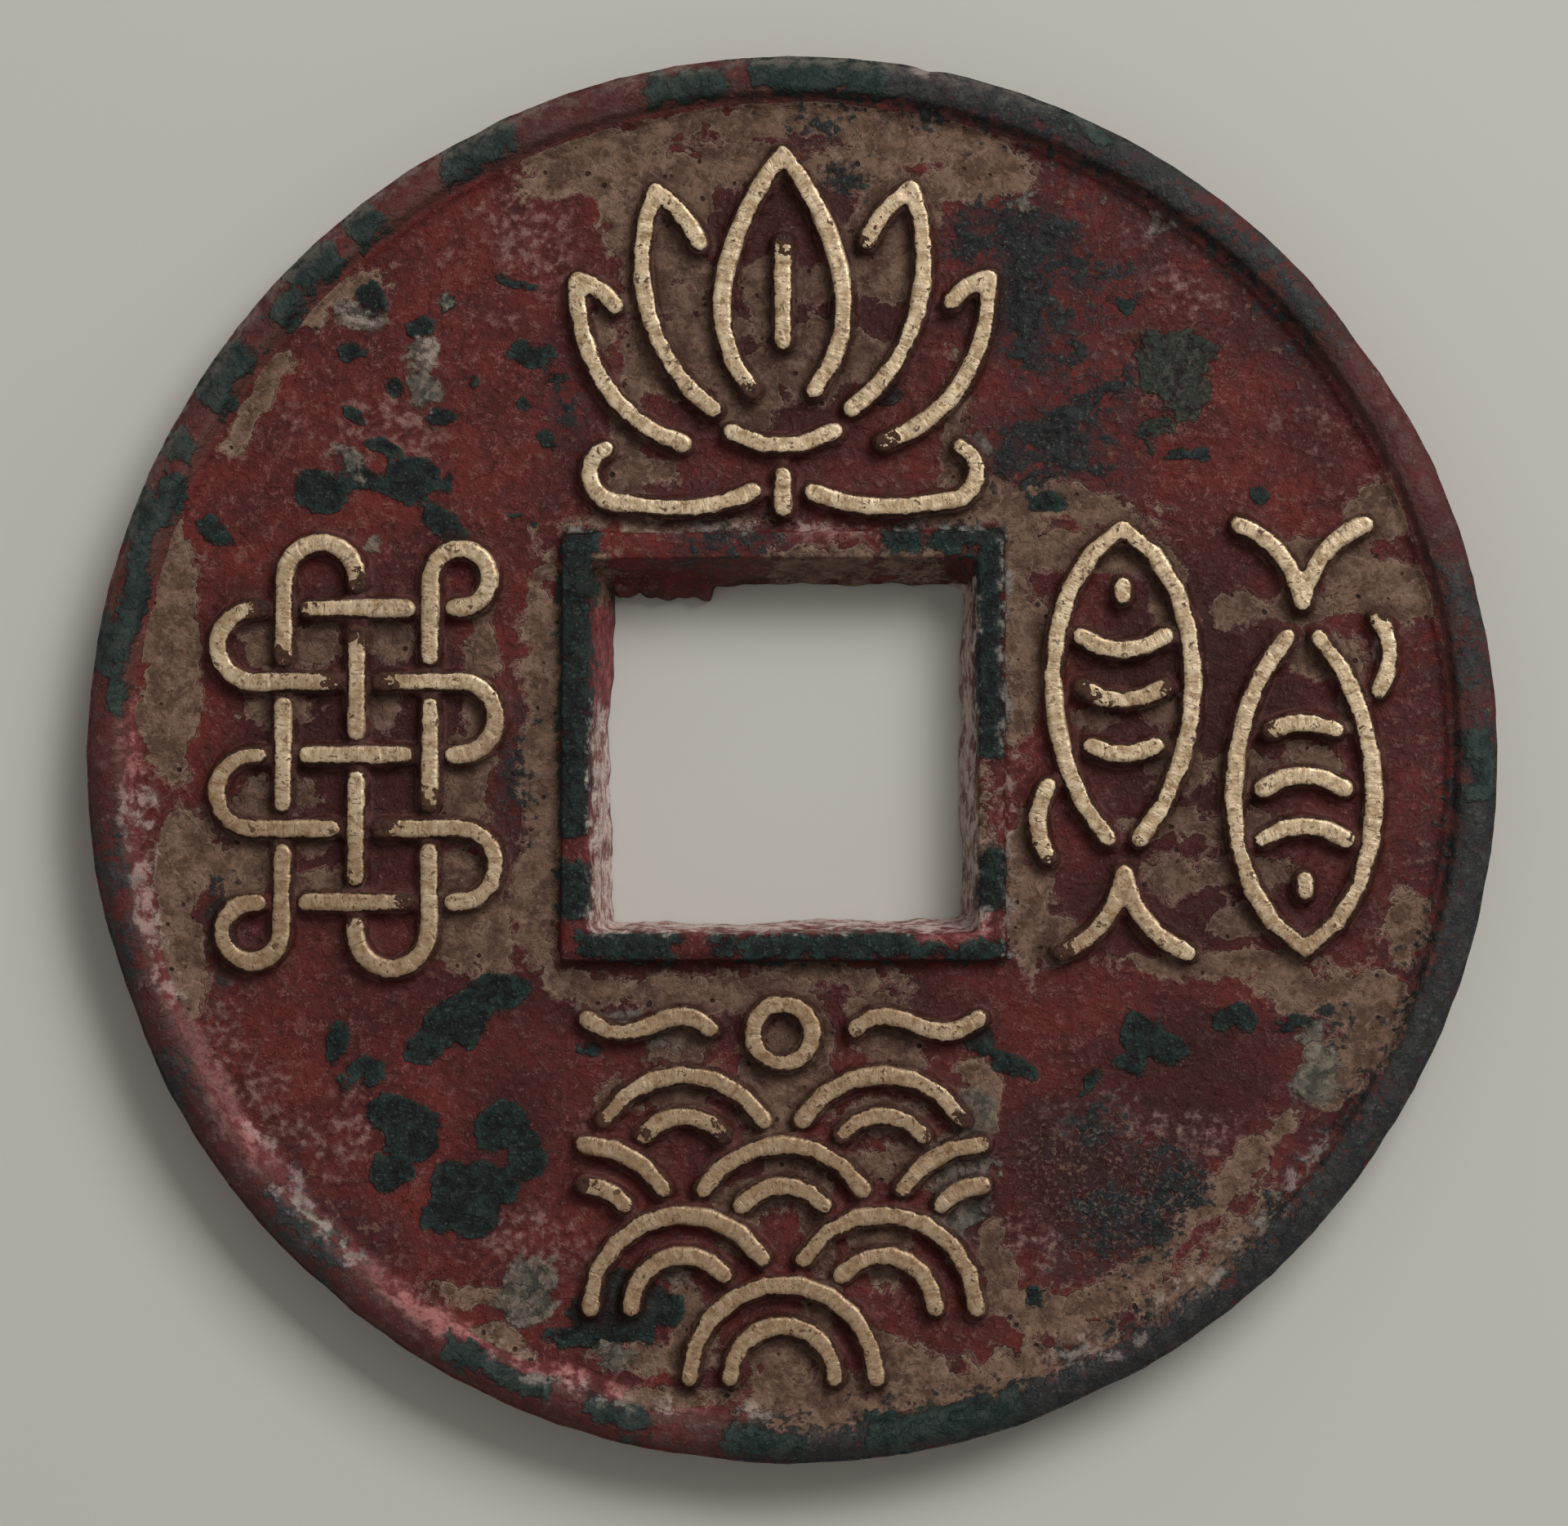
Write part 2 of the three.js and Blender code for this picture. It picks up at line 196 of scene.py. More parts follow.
# The patina: thin red skin over earth-coloured ground, with crusts of dark green, slate and pale green.
# It grew in burial. Each patch is an oval placed after the photograph: centre and half sizes in
# pixels, and turn in degrees.
COIN_RADIUS = 22.5
COIN_CENTRE_PIXEL = (970, 930)
PIXEL = 0.02607
GREEN_CRUST = [
    # upper left field
    (455, 365, 17, 15, 0), (430, 430, 19, 13, 0), (512, 398, 15, 20, 0), (542, 514, 22, 10, 20),
    (547, 368, 11, 10, 0), (625, 346, 30, 6, 0), (655, 437, 24, 14, 0), (685, 464, 14, 9, 20),
    (645, 500, 11, 10, 0), (670, 547, 14, 12, 0), (585, 460, 6, 9, 0), (437, 512, 14, 8, -15),
    (470, 553, 20, 12, 0), (505, 588, 28, 32, 0), (450, 592, 38, 13, -25), (393, 603, 30, 21, 0),
    (551, 597, 9, 14, 0), (540, 650, 38, 20, -35), (262, 650, 26, 14, -25), (635, 635, 9, 5, 0),
    (668, 639, 9, 6, 0), (485, 472, 14, 9, 0),
    # upper right field
    (1440, 432, 54, 28, 0), (1442, 460, 48, 26, 10), (1462, 492, 24, 26, 0), (1418, 528, 30, 12, 45),
    (1435, 566, 22, 9, 0), (1545, 620, 11, 11, 0), (1285, 625, 24, 11, 0), (1470, 562, 10, 10, 0),
    (1380, 374, 22, 9, 0), (1085, 488, 24, 18, 0),
    # lower left field
    (415, 1285, 14, 30, 0), (455, 1312, 22, 9, 0), (464, 1328, 11, 15, 0), (436, 1336, 11, 9, 0),
    (500, 1374, 42, 24, -8), (510, 1408, 30, 28, 0), (484, 1442, 18, 24, 20), (618, 1222, 34, 24, 10),
    (562, 1258, 50, 27, 20), (524, 1292, 26, 20, 0), (622, 1388, 38, 30, 0), (646, 1418, 22, 34, 0),
    (582, 1462, 56, 34, 0), (560, 1490, 40, 20, 0), (590, 1508, 26, 14, 0), (770, 1600, 66, 42, 0),
    (720, 1300, 16, 8, 0), (745, 1640, 60, 18, 0),
    # lower right field
    (1205, 1284, 19, 21, 0), (1240, 1316, 24, 14, -25), (1330, 1332, 24, 9, 40), (1398, 1270, 32, 22, 0),
    (1430, 1288, 30, 18, 0), (1384, 1314, 20, 14, 0), (1505, 1254, 20, 16, 0), (1582, 1262, 28, 11, 0),
    (1210, 1400, 16, 8, 0), (1195, 1440, 18, 13, 0), (1265, 1590, 11, 16, 0),
]
SLATE_CRUST = [
    (1275, 300, 46, 40, 0), (1245, 378, 44, 56, 0), (1222, 268, 26, 20, 0), (1192, 302, 24, 18, 0),
    (1312, 322, 26, 14, 0), (1345, 345, 30, 9, 15), (1262, 428, 22, 26, 0), (1312, 440, 11, 16, 0),
    (1322, 398, 22, 8, 10), (1370, 482, 32, 18, 18), (1332, 502, 22, 20, 0), (1290, 538, 56, 28, 8),
    (1242, 570, 28, 22, 0), (1300, 560, 42, 28, 0), (1272, 598, 36, 13, 0), (1350, 580, 16, 10, 0),
    (697, 500, 9, 20, 0), (1345, 1392, 42, 24, 0), (1350, 1500, 32, 44, 0), (1440, 1464, 46, 38, 0),
    (1400, 1500, 56, 42, 0), (1420, 1420, 34, 18, 0), (1372, 1548, 40, 18, 0), (1005, 150, 32, 13, 0),
    (1046, 222, 28, 12, 0), (640, 958, 9, 38, 0), (275, 1130, 9, 40, 0), (1508, 298, 34, 15, -48),
    (1544, 328, 20, 13, -50), (1582, 380, 24, 14, -55), (1455, 1466, 30, 30, 0), (1622, 1256, 14, 8, 20),
    (1634, 1282, 8, 20, -15),
]
# Crust, earth, chalk and painted highlights along the outer rim: from and to angle in degrees, inner and
# outer radius in mm
GREEN_ON_RIM = [
    (82, 93.5, 21.3, 22.9), (95, 102, 21.35, 22.3), (113.5, 120.5, 21.35, 22.9), (127, 130, 21.2, 22.4),
    (132, 136.2, 21.2, 22.9), (136, 139.6, 21.2, 21.9), (142.5, 149, 21.25, 22.9),
    (151.8, 154, 21.4, 22.2), (155.2, 158.2, 21.2, 22.0), (158, 162.2, 21.25, 22.9),
    (162, 169.2, 21.3, 22.15), (169, 172.6, 21.4, 22.9), (173, 176.6, 21.3, 21.9),
    (240, 243.4, 21.3, 22.1), (244, 249.8, 21.25, 22.0), (252.4, 259, 21.3, 21.95),
    (264.6, 271, 21.5, 22.4), (276.5, 289.5, 21.2, 22.3), (356, 361, 21.6, 22.5), (62, 68, 21.9, 22.5),
]
SLATE_ON_RIM = [
    (45.8, 56, 21.2, 22.0), (54.5, 91, 21.25, 22.9), (38.8, 43.8, 21.2, 21.75), (7, 8.6, 21.6, 22.2),
    (11, 13.8, 21.8, 22.6), (188, 189.6, 21.9, 22.3), (195.4, 197.2, 22.1, 22.9), (206, 209, 22.2, 22.9),
    (221.8, 227.6, 21.35, 22.1), (266, 361, 21.25, 23.0),
]
# Painted highlight: the lower left of the inner slope, which faces the lamp, painted bright pink
LIT_SLOPE_ON_RIM = [
    (176, 200, 20.9, 21.3), (199, 228, 20.75, 21.4), (227, 244, 20.8, 21.5), (245.5, 251.5, 20.8, 21.3),
    (253.5, 263, 20.85, 21.25),
]
EARTH_ON_RIM = [
    (303, 317, 20.85, 21.35), (268, 292, 20.6, 21.25),
]
# Chalk flecks, and painted highlights along the inner slope and crest
CHALK_AND_HIGHLIGHT_ON_RIM = [
    (214, 221, 20.72, 20.9), (183, 202, 20.9, 21.3), (220.5, 222.6, 21.0, 21.5), (223, 227, 20.9, 21.4),
    (228.4, 229.6, 21.1, 21.5), (243, 246, 20.7, 21.25), (247.5, 256, 21.15, 21.4),
    (258.6, 260.6, 20.9, 21.3), (266, 268, 20.7, 21.2), (298, 301.5, 21.4, 21.8),
    (303.5, 316, 20.9, 21.3), (318, 324, 20.8, 21.1), (293, 298, 20.8, 21.3), (78, 79.6, 22.3, 22.6),
]
# The same on the bars of the inner rim and the walls of the hole: left, top, right and bottom in pixels
GREEN_ON_BARS = [
    (690, 652, 738, 684), (690, 660, 729, 1034), (690, 1066, 728, 1132), (1086, 652, 1134, 684),
    (1150, 650, 1236, 684), (1198, 650, 1236, 938), (1198, 1052, 1236, 1123), (1198, 1164, 1238, 1184),
    (714, 1149, 844, 1166), (714, 1152, 828, 1184), (879, 1152, 907, 1180), (920, 1152, 1124, 1184),
    (1130, 1164, 1218, 1184),
]
SLATE_ON_BARS = [
    (860, 654, 898, 675), (903, 654, 948, 669), (1128, 652, 1184, 684), (1022, 1149, 1050, 1160),
]
EARTH_ON_BARS = [
    (722, 690, 746, 733), (955, 685, 1062, 712), (1096, 686, 1150, 700), (1186, 960, 1204, 1120),
]
WORN_ON_BARS = [
    (724, 736, 756, 1150), (724, 1122, 1215, 1151), (960, 655, 1050, 663), (1130, 1150, 1215, 1164),
]
# Chalk on the walls of the hole; the thin lines along the bars' top and right outer edges are painted
# highlights
CHALK_AND_HIGHLIGHT_ON_BARS = [
    (730, 870, 756, 1150), (722, 1126, 1215, 1146), (1172, 720, 1197, 1140), (690, 650, 1236, 656),
    (1234, 660, 1240, 1180),
]
PALE_CRUST = [
    (440, 386, 24, 15, 0), (524, 436, 20, 24, 20), (526, 478, 22, 28, 0), (545, 366, 10, 8, 0),
    (782, 1270, 58, 13, -22), (1195, 1376, 22, 28, 0), (1182, 1432, 42, 28, 0), (1176, 1474, 34, 30, 0),
    (1166, 1516, 14, 36, 0), (1606, 1284, 24, 16, 20), (1614, 1328, 36, 22, 25), (653, 1587, 38, 46, 0),
    (757, 1668, 34, 13, 0), (835, 1560, 20, 12, 0), (430, 572, 24, 13, -40), (455, 668, 13, 11, 0),
    (1262, 254, 13, 12, 0), (1424, 280, 11, 10, 0), (1208, 548, 13, 17, 0), (400, 1505, 34, 11, -40),
]
CHALK_SPOTS = [
    (524, 432, 17, 20, 20), (440, 384, 16, 9, 0), (400, 1505, 24, 8, -40), (186, 1052, 13, 15, 0),
    (180, 990, 9, 34, 0), (1690, 806, 13, 9, 30),
]
BARE_EARTH = [
    # about the upper ornament
    (700, 200, 60, 26, -20), (800, 212, 70, 20, -14), (905, 205, 44, 20, 0), (1010, 140, 60, 20, 0),
    (1060, 205, 60, 16, 8), (1200, 225, 60, 22, 10), (1090, 290, 40, 44, 30), (790, 300, 44, 30, -30),
    (845, 320, 34, 22, -30), (1010, 350, 30, 18, 0), (860, 405, 60, 12, 0), (1040, 440, 60, 26, 0),
    (745, 190, 92, 24, 22), (842, 245, 26, 48, 0), (835, 146, 60, 10, 12), (925, 150, 30, 20, 0),
    (1135, 165, 92, 28, -8), (1200, 190, 60, 15, -8), (1110, 242, 46, 24, -20), (800, 335, 28, 52, -25),
    (765, 250, 24, 15, 0), (842, 372, 26, 12, 0), (955, 360, 38, 40, 0), (1085, 325, 50, 34, -40),
    (1000, 450, 34, 44, 0), (825, 445, 58, 42, 0), (925, 485, 34, 48, -30), (774, 555, 16, 92, 0),
    (792, 580, 24, 14, 0), (735, 412, 12, 16, 0), (818, 642, 66, 7, 0), (1178, 560, 8, 62, 5),
    (1192, 622, 20, 26, 0), (1236, 616, 46, 13, -12), (1215, 640, 60, 8, 0), (1262, 640, 20, 24, 0),
    (1320, 620, 56, 16, -8), (1350, 634, 46, 12, -6),
    # about the right ornament
    (1335, 688, 82, 24, 0), (1246, 690, 14, 62, 0), (1262, 805, 34, 54, -15), (1250, 855, 20, 52, 0),
    (1436, 735, 18, 32, 0), (1520, 756, 27, 18, 0), (1600, 756, 32, 20, 0), (1600, 690, 32, 16, 0),
    (1700, 640, 40, 28, 0), (1662, 712, 26, 44, 0), (1716, 735, 40, 34, -25), (1630, 815, 32, 14, 0),
    (1654, 842, 8, 32, 0), (1440, 880, 22, 18, 0), (1342, 890, 24, 10, 0), (1440, 950, 26, 24, 0),
    (1520, 955, 26, 20, 0), (1610, 940, 22, 16, 0), (1430, 1020, 32, 13, 0), (1520, 1020, 32, 11, 0),
    (1440, 1080, 32, 13, 0), (1520, 1080, 42, 13, 0), (1515, 1138, 26, 13, 0), (1252, 1050, 12, 34, 0),
    (1266, 1078, 26, 28, 0), (1260, 1125, 18, 56, 0), (1290, 1162, 24, 26, 0), (1500, 1190, 82, 11, 0),
    (1722, 1142, 18, 32, 0), (1602, 1228, 36, 20, 0), (1572, 1210, 30, 15, 0), (1665, 1232, 52, 34, 0),
    (1680, 1270, 26, 44, 0), (1630, 1318, 38, 30, 20), (1402, 1546, 36, 12, 30), (1440, 1514, 40, 12, 38),
    (1480, 1476, 36, 12, 42), (1516, 1440, 36, 12, 48), (1562, 1390, 20, 7, 50), (1380, 1572, 30, 12, 22),
    # about the lower ornament
    (885, 1224, 92, 24, 4), (1000, 1203, 62, 9, 0), (840, 1288, 28, 18, 0), (840, 1340, 36, 26, 0),
    (935, 1335, 26, 56, 0), (960, 1405, 18, 62, 0), (990, 1300, 34, 66, 0), (1082, 1270, 22, 48, 20),
    (1112, 1310, 20, 22, 0), (1082, 1372, 34, 13, 0), (1105, 1432, 46, 20, 0), (1142, 1436, 30, 18, 0),
    (1082, 1530, 30, 42, 0), (756, 1346, 16, 16, 0), (832, 1358, 26, 11, 0), (985, 1712, 66, 28, 0),
    (955, 1655, 36, 18, 0), (1004, 1500, 14, 46, 0), (1010, 1600, 8, 60, 0), (1112, 1695, 46, 34, 0),
    (1080, 1655, 18, 18, 0), (925, 1472, 26, 18, 0), (900, 1505, 14, 18, 0), (1205, 1362, 18, 34, 0),
    (1200, 1326, 22, 14, -30), (1222, 1562, 18, 22, 0), (1262, 1612, 56, 20, -15),
    (1330, 1600, 62, 22, 22), (1345, 1640, 30, 12, 15), (1235, 1686, 60, 12, 10), (1190, 1700, 30, 10, 0),
    (1215, 1520, 12, 14, 0),
    # about the left ornament
    (210, 800, 32, 96, 0), (208, 890, 34, 58, 0), (222, 722, 14, 42, 0), (206, 670, 11, 32, 0),
    (228, 1065, 32, 62, 0), (222, 1150, 20, 62, 0), (230, 1215, 18, 32, 0), (308, 1010, 28, 40, 0),
    (300, 1078, 32, 34, 0), (326, 795, 22, 20, 0), (385, 795, 22, 20, 0), (345, 875, 34, 15, 0),
    (478, 792, 22, 24, 0), (470, 870, 22, 22, 0), (590, 860, 14, 60, 0), (600, 790, 8, 50, 0),
    (575, 985, 24, 60, 0), (575, 1108, 32, 46, 0), (604, 1140, 22, 58, 0), (560, 1160, 22, 36, 0),
    (668, 820, 21, 96, 0), (668, 960, 21, 120, 0), (664, 1090, 21, 90, 0), (360, 978, 22, 11, 0),
    (385, 1030, 24, 16, 0), (395, 1088, 34, 13, 0), (704, 1216, 26, 8, 0), (745, 1222, 22, 13, 0),
    # along the foot of the outer rim, on the left
    (438, 356, 24, 8, 20), (400, 372, 26, 9, 38), (330, 456, 10, 17, -38), (300, 512, 9, 34, -35),
    (600, 1585, 36, 10, 0), (625, 1650, 30, 12, -20), (845, 1625, 22, 44, 0), (810, 1664, 46, 12, 0),
    (820, 1718, 44, 10, 0),
]
# Painted shade: where the red skin is painted darker because it lies in shade, mostly within the ornaments
SHADED_RED = [
    (440, 910, 190, 230, 0), (400, 790, 180, 110, 0), (650, 1000, 60, 160, 0), (1470, 870, 180, 220, 0),
    (1460, 1110, 240, 116, 0), (950, 380, 195, 205, 0), (950, 520, 190, 66, 0), (900, 160, 280, 56, 0),
    (850, 1226, 520, 88, 0), (1010, 1260, 84, 60, 0), (960, 1440, 220, 58, 0), (940, 1600, 150, 40, 0),
    (630, 1380, 84, 150, 0), (1450, 1330, 150, 120, 0), (1330, 1450, 150, 130, 0),
    (1210, 1500, 80, 80, 0), (1600, 460, 150, 48, -40), (1610, 560, 120, 50, -55), (1275, 690, 80, 90, 0),
]
# Where the green and slate crusts are thin and let the red through
THIN_PLACES = [
    (1448, 470, 76, 80, 0), (1390, 1475, 130, 110, 0), (1290, 1440, 60, 60, 0), (1180, 1440, 44, 100, 0),
]
# Where the red skin is scuffed pale
PALE_SCUFFS = [
    (650, 290, 52, 46, 0), (690, 305, 18, 26, 0), (680, 362, 18, 10, 0), (620, 396, 16, 8, 0),
    (1450, 362, 46, 18, -25), (1326, 245, 10, 24, -30), (1390, 296, 13, 6, 0), (1572, 522, 11, 7, 30),
    (1615, 548, 11, 22, 0), (1690, 592, 11, 16, 0), (428, 560, 24, 34, 0), (365, 520, 24, 9, -55),
    (360, 1384, 32, 15, -20), (392, 1420, 34, 14, -45), (330, 1330, 34, 16, 0), (440, 1380, 28, 44, 0),
    (548, 335, 12, 20, 0), (600, 262, 30, 16, 0), (1690, 806, 20, 12, 30), (1678, 1000, 7, 15, 0),
    (182, 985, 12, 44, 0), (186, 1052, 15, 17, 0), (1375, 1385, 70, 24, 0), (840, 1620, 34, 40, 0),
    (280, 1270, 20, 50, 0), (1330, 1375, 40, 13, 10), (1600, 1430, 34, 14, 45), (1470, 1400, 50, 24, 0),
    (1250, 1530, 50, 40, 0), (700, 1550, 30, 16, 0), (480, 520, 60, 40, 0), (650, 1515, 60, 26, 0),
    (716, 1540, 22, 26, 0),
]


def on_coin(spots):
    """Ovals in pixels of the photograph as ovals in millimetres on the coin."""
    across, down = COIN_CENTRE_PIXEL
    return [
        ((x - across) * PIXEL, (down - y) * PIXEL, width * PIXEL, height * PIXEL, turn)
        for x, y, width, height, turn in spots
    ]


def strewn(seed, count, smallest, largest):
    """Ovals strewn over the reverse, which the photograph doesn't show."""
    dice = np.random.default_rng(seed)
    ovals = []
    for _ in range(count):
        distance, angle = COIN_RADIUS * math.sqrt(dice.uniform(0.1, 1)), dice.uniform(0, 2 * math.pi)
        size, stretch = dice.uniform(smallest, largest), dice.uniform(0.45, 1)
        centre = (distance * math.cos(angle), distance * math.sin(angle))
        ovals.append((*centre, size, size * stretch, dice.uniform(0, 180)))
    return ovals


FAR_OUT = -3.0


def depth_inside(places, ovals):
    """How deep in millimetres each place lies inside the nearest oval, or less than 0 outside them all."""
    deepest = np.full(len(places), FAR_OUT)
    for x, y, width, height, turn in ovals:
        c, s = math.cos(math.radians(turn)), math.sin(math.radians(turn))
        dx, dy = places[:, 0] - x, places[:, 1] - y
        spread = np.hypot((dx * c + dy * s) / width, (dy * c - dx * s) / height)
        deepest = np.maximum(deepest, (1 - spread) * min(width, height))
    return deepest


def depth_on_rim(places, stretches):
    """The same for stretches of the outer rim."""
    around = np.degrees(np.arctan2(places[:, 1], places[:, 0]))
    out = np.hypot(places[:, 0], places[:, 1])
    deepest = np.full(len(places), FAR_OUT)
    for start, end, inner, outer in stretches:
        off = np.abs((around - (start + end) / 2 + 180) % 360 - 180)
        inside = np.radians((end - start) / 2 - off) * out
        deepest = np.maximum(deepest, np.minimum(inside, np.minimum(out - inner, outer - out)))
    return deepest


def depth_on_bars(places, boxes):
    """The same for upright boxes in pixels."""
    across, down = COIN_CENTRE_PIXEL
    x, y = places[:, 0] / PIXEL + across, down - places[:, 1] / PIXEL
    deepest = np.full(len(places), FAR_OUT)
    for left, top, right, bottom in boxes:
        inside = np.minimum(np.minimum(x - left, right - x), np.minimum(y - top, bottom - y))
        deepest = np.maximum(deepest, inside * PIXEL)
    return deepest


def carry(piece, name, values):
    """Keeps one number a vertex on the piece, for its finish to read."""
    held = piece.data.attributes.new(name, "FLOAT", "POINT")
    held.data.foreach_set("value", np.asarray(values, np.float32))


def normals_of(piece):
    flat = np.zeros(len(piece.data.vertices) * 3)
    piece.data.vertex_normals.foreach_get("vector", flat)
    return flat.reshape(-1, 3)


def edges_of(piece):
    flat = np.zeros(len(piece.data.edges) * 2, int)
    piece.data.edges.foreach_get("vertices", flat)
    return flat.reshape(-1, 2)


def hollow_of(piece, rounds):
    """How far each place lies in a hollow (above 0) or on an edge (below 0), evened out a little."""
    places, normals, edges = places_of(piece), normals_of(piece), edges_of(piece)
    ends = np.concatenate([edges, edges[:, ::-1]])
    step = places[ends[:, 1]] - places[ends[:, 0]]
    lean = (step * normals[ends[:, 0]]).sum(1) / np.linalg.norm(step, axis=1)
    count = np.bincount(ends[:, 0], minlength=len(places))
    hollow = np.bincount(ends[:, 0], lean, len(places)) / count
    for _ in range(rounds):
        hollow = (hollow + np.bincount(ends[:, 0], hollow[ends[:, 1]], len(places)) / count) / 2
    return hollow


def drifted(places, length, height):
    """How far a noise of this wavelength and height shifts each place, to draw the patches ragged."""
    return np.array([noise.noise_vector(Vector(p) / length) for p in places]) * height


skin = places_of(casting)
drift = drifted(skin, length=1.9, height=0.42) + drifted(skin, length=0.7, height=0.24)
bar_drift = drifted(skin, length=0.9, height=0.16)
past_hole = beyond_hole(skin)
reach = np.hypot(skin[:, 0], skin[:, 1])
around = np.degrees(np.arctan2(skin[:, 1], skin[:, 0]))

# What was read off the photograph covers the walls of the hole, and ends raggedly on the coin's edge
EDGE_BEGINS = (22.1, 22.45)
READ_DOWN_TO = (0.8, 1.5)
READ_RAGGEDLY = 1.6
HOLE_LIP = 0.1
side = smooth_rise(reach, *EDGE_BEGINS)
obverse = smooth_rise(skin[:, 2] + READ_RAGGEDLY * drift[:, 2] * side, *READ_DOWN_TO)
obverse[past_hole < HOLE_LIP] = 1
rim_drift = drift * (0.7 + 1.1 * side)[:, None]

# Earth in the field stops short of both rims, but climbs a little way up the outer one at the lower right
CLIMB_MIDDLE = -60
CLIMB_HALF = 45
CLIMB = 0.4
EARTH_LIMIT = (20.95, 21.25)
EARTH_NEAR_HOLE = (0.75, 0.85)
climbing = np.abs(around - CLIMB_MIDDLE) < CLIMB_HALF
off_rim = smooth_rise(reach - CLIMB * climbing, *EARTH_LIMIT)
off_bars = smooth_fall(past_hole, *EARTH_NEAR_HOLE)

NARROW_CRUST = 0.45
EARTH_ON_BARS_LESS = 0.08
for name, seen, on_rim, on_bars, unseen in (
    ("green", GREEN_CRUST, GREEN_ON_RIM, GREEN_ON_BARS, strewn(11, 46, 0.5, 2.6)),
    ("slate", SLATE_CRUST, SLATE_ON_RIM, SLATE_ON_BARS, strewn(12, 22, 0.8, 3.2)),
    ("pale", PALE_CRUST, [], [], strewn(13, 12, 0.4, 1.4)),
    ("earth", BARE_EARTH, EARTH_ON_RIM, EARTH_ON_BARS, strewn(14, 60, 0.5, 2.4)),
    ("scuff", PALE_SCUFFS, [], [], strewn(15, 22, 0.6, 2.0)),
    ("deep", SHADED_RED, [], [], strewn(16, 9, 2.0, 5.0)),
    ("thin", THIN_PLACES, [], [], []),
    ("chalk", CHALK_SPOTS, CHALK_AND_HIGHLIGHT_ON_RIM, CHALK_AND_HIGHLIGHT_ON_BARS, []),
    ("worn", [], LIT_SLOPE_ON_RIM, WORN_ON_BARS, []),
):
    front, back = depth_inside(skin + drift, on_coin(seen)), depth_inside(skin + drift, unseen)
    bars = NARROW_CRUST * depth_on_bars(skin + bar_drift, on_bars)
    if name == "earth":
        front += FAR_OUT * off_rim + FAR_OUT * off_bars
        bars -= EARTH_ON_BARS_LESS
    front = np.maximum(front, NARROW_CRUST * depth_on_rim(skin + rim_drift, on_rim))
    front = np.maximum(front, bars)
    carry(casting, name, back + (front - back) * obverse)

# The rim, the foot of its inner slope and the walls of the hole, each with a soft border
RIM_BORDER = (21.2, 21.5)
FOOT_INNER = (21.0, 21.2)
FOOT_OUTER = (21.4, 21.6)
WALL_BORDER = (0.0, 0.16)
carry(casting, "rim", smooth_rise(reach, *RIM_BORDER))
carry(casting, "foot", smooth_rise(reach, *FOOT_INNER) * smooth_fall(reach, *FOOT_OUTER))
carry(casting, "wall", smooth_fall(past_hole, *WALL_BORDER))

# The outer corner over the upper left is painted lighter and greyer: partly rubbed wear, partly a painted
# highlight
SHEEN_MIDDLE = 115
SHEEN_SPREAD = (36, 60)
SHEEN_HEIGHT = (1.9, 2.5)
SHEEN_REACH = (21.85, 22.45)
sheen = smooth_fall(np.abs(around - SHEEN_MIDDLE), *SHEEN_SPREAD) * smooth_rise(skin[:, 2], *SHEEN_HEIGHT)
carry(casting, "rubbed_and_highlight", smooth_rise(reach, *SHEEN_REACH) * sheen)

gold_nodes = [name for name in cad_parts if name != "coin_body"]
corners, faces = [], []
for name in gold_nodes:
    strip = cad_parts[name].data
    faces += [[i + len(corners) for i in polygon.vertices] for polygon in strip.polygons]
    corners += [v.co * MILLIMETRES for v in strip.vertices]
gilding = BVHTree.FromPolygons(corners, faces)
GILT_MIDDLE = 2.63
FACE_FROM = 1.9
NO_GOLD_NEAR = 3.0
gap = np.full(len(skin), NO_GOLD_NEAR)
for i in np.flatnonzero(skin[:, 2] > FACE_FROM):
    found = gilding.find_nearest(Vector((skin[i, 0], skin[i, 1], GILT_MIDDLE)), NO_GOLD_NEAR)
    gap[i] = found[3] if found[0] is not None else NO_GOLD_NEAR
carry(casting, "gap", gap)
carry(casting, "hollow", hollow_of(casting, 3))
rescaled(casting, 1 / MILLIMETRES)


class Shade:
    """What comes out of one socket of a finish, so that sums can be written as sums."""

    def __init__(self, finish, socket):
        self.finish = finish
        self.socket = socket

    def sum_of(self, operation, first, second):
        return self.finish.node("ShaderNodeMath", {"operation": operation}, {0: first, 1: second})

    def __add__(self, other):
        return self.sum_of("ADD", self, other)

    def __sub__(self, other):
        return self.sum_of("SUBTRACT", self, other)

    def __rsub__(self, other):
        return self.sum_of("SUBTRACT", other, self)

    def __mul__(self, other):
        return self.sum_of("MULTIPLY", self, other)

    def __abs__(self):
        return self.finish.node("ShaderNodeMath", {"operation": "ABSOLUTE"}, {0: self})

    __radd__ = __add__
    __rmul__ = __mul__


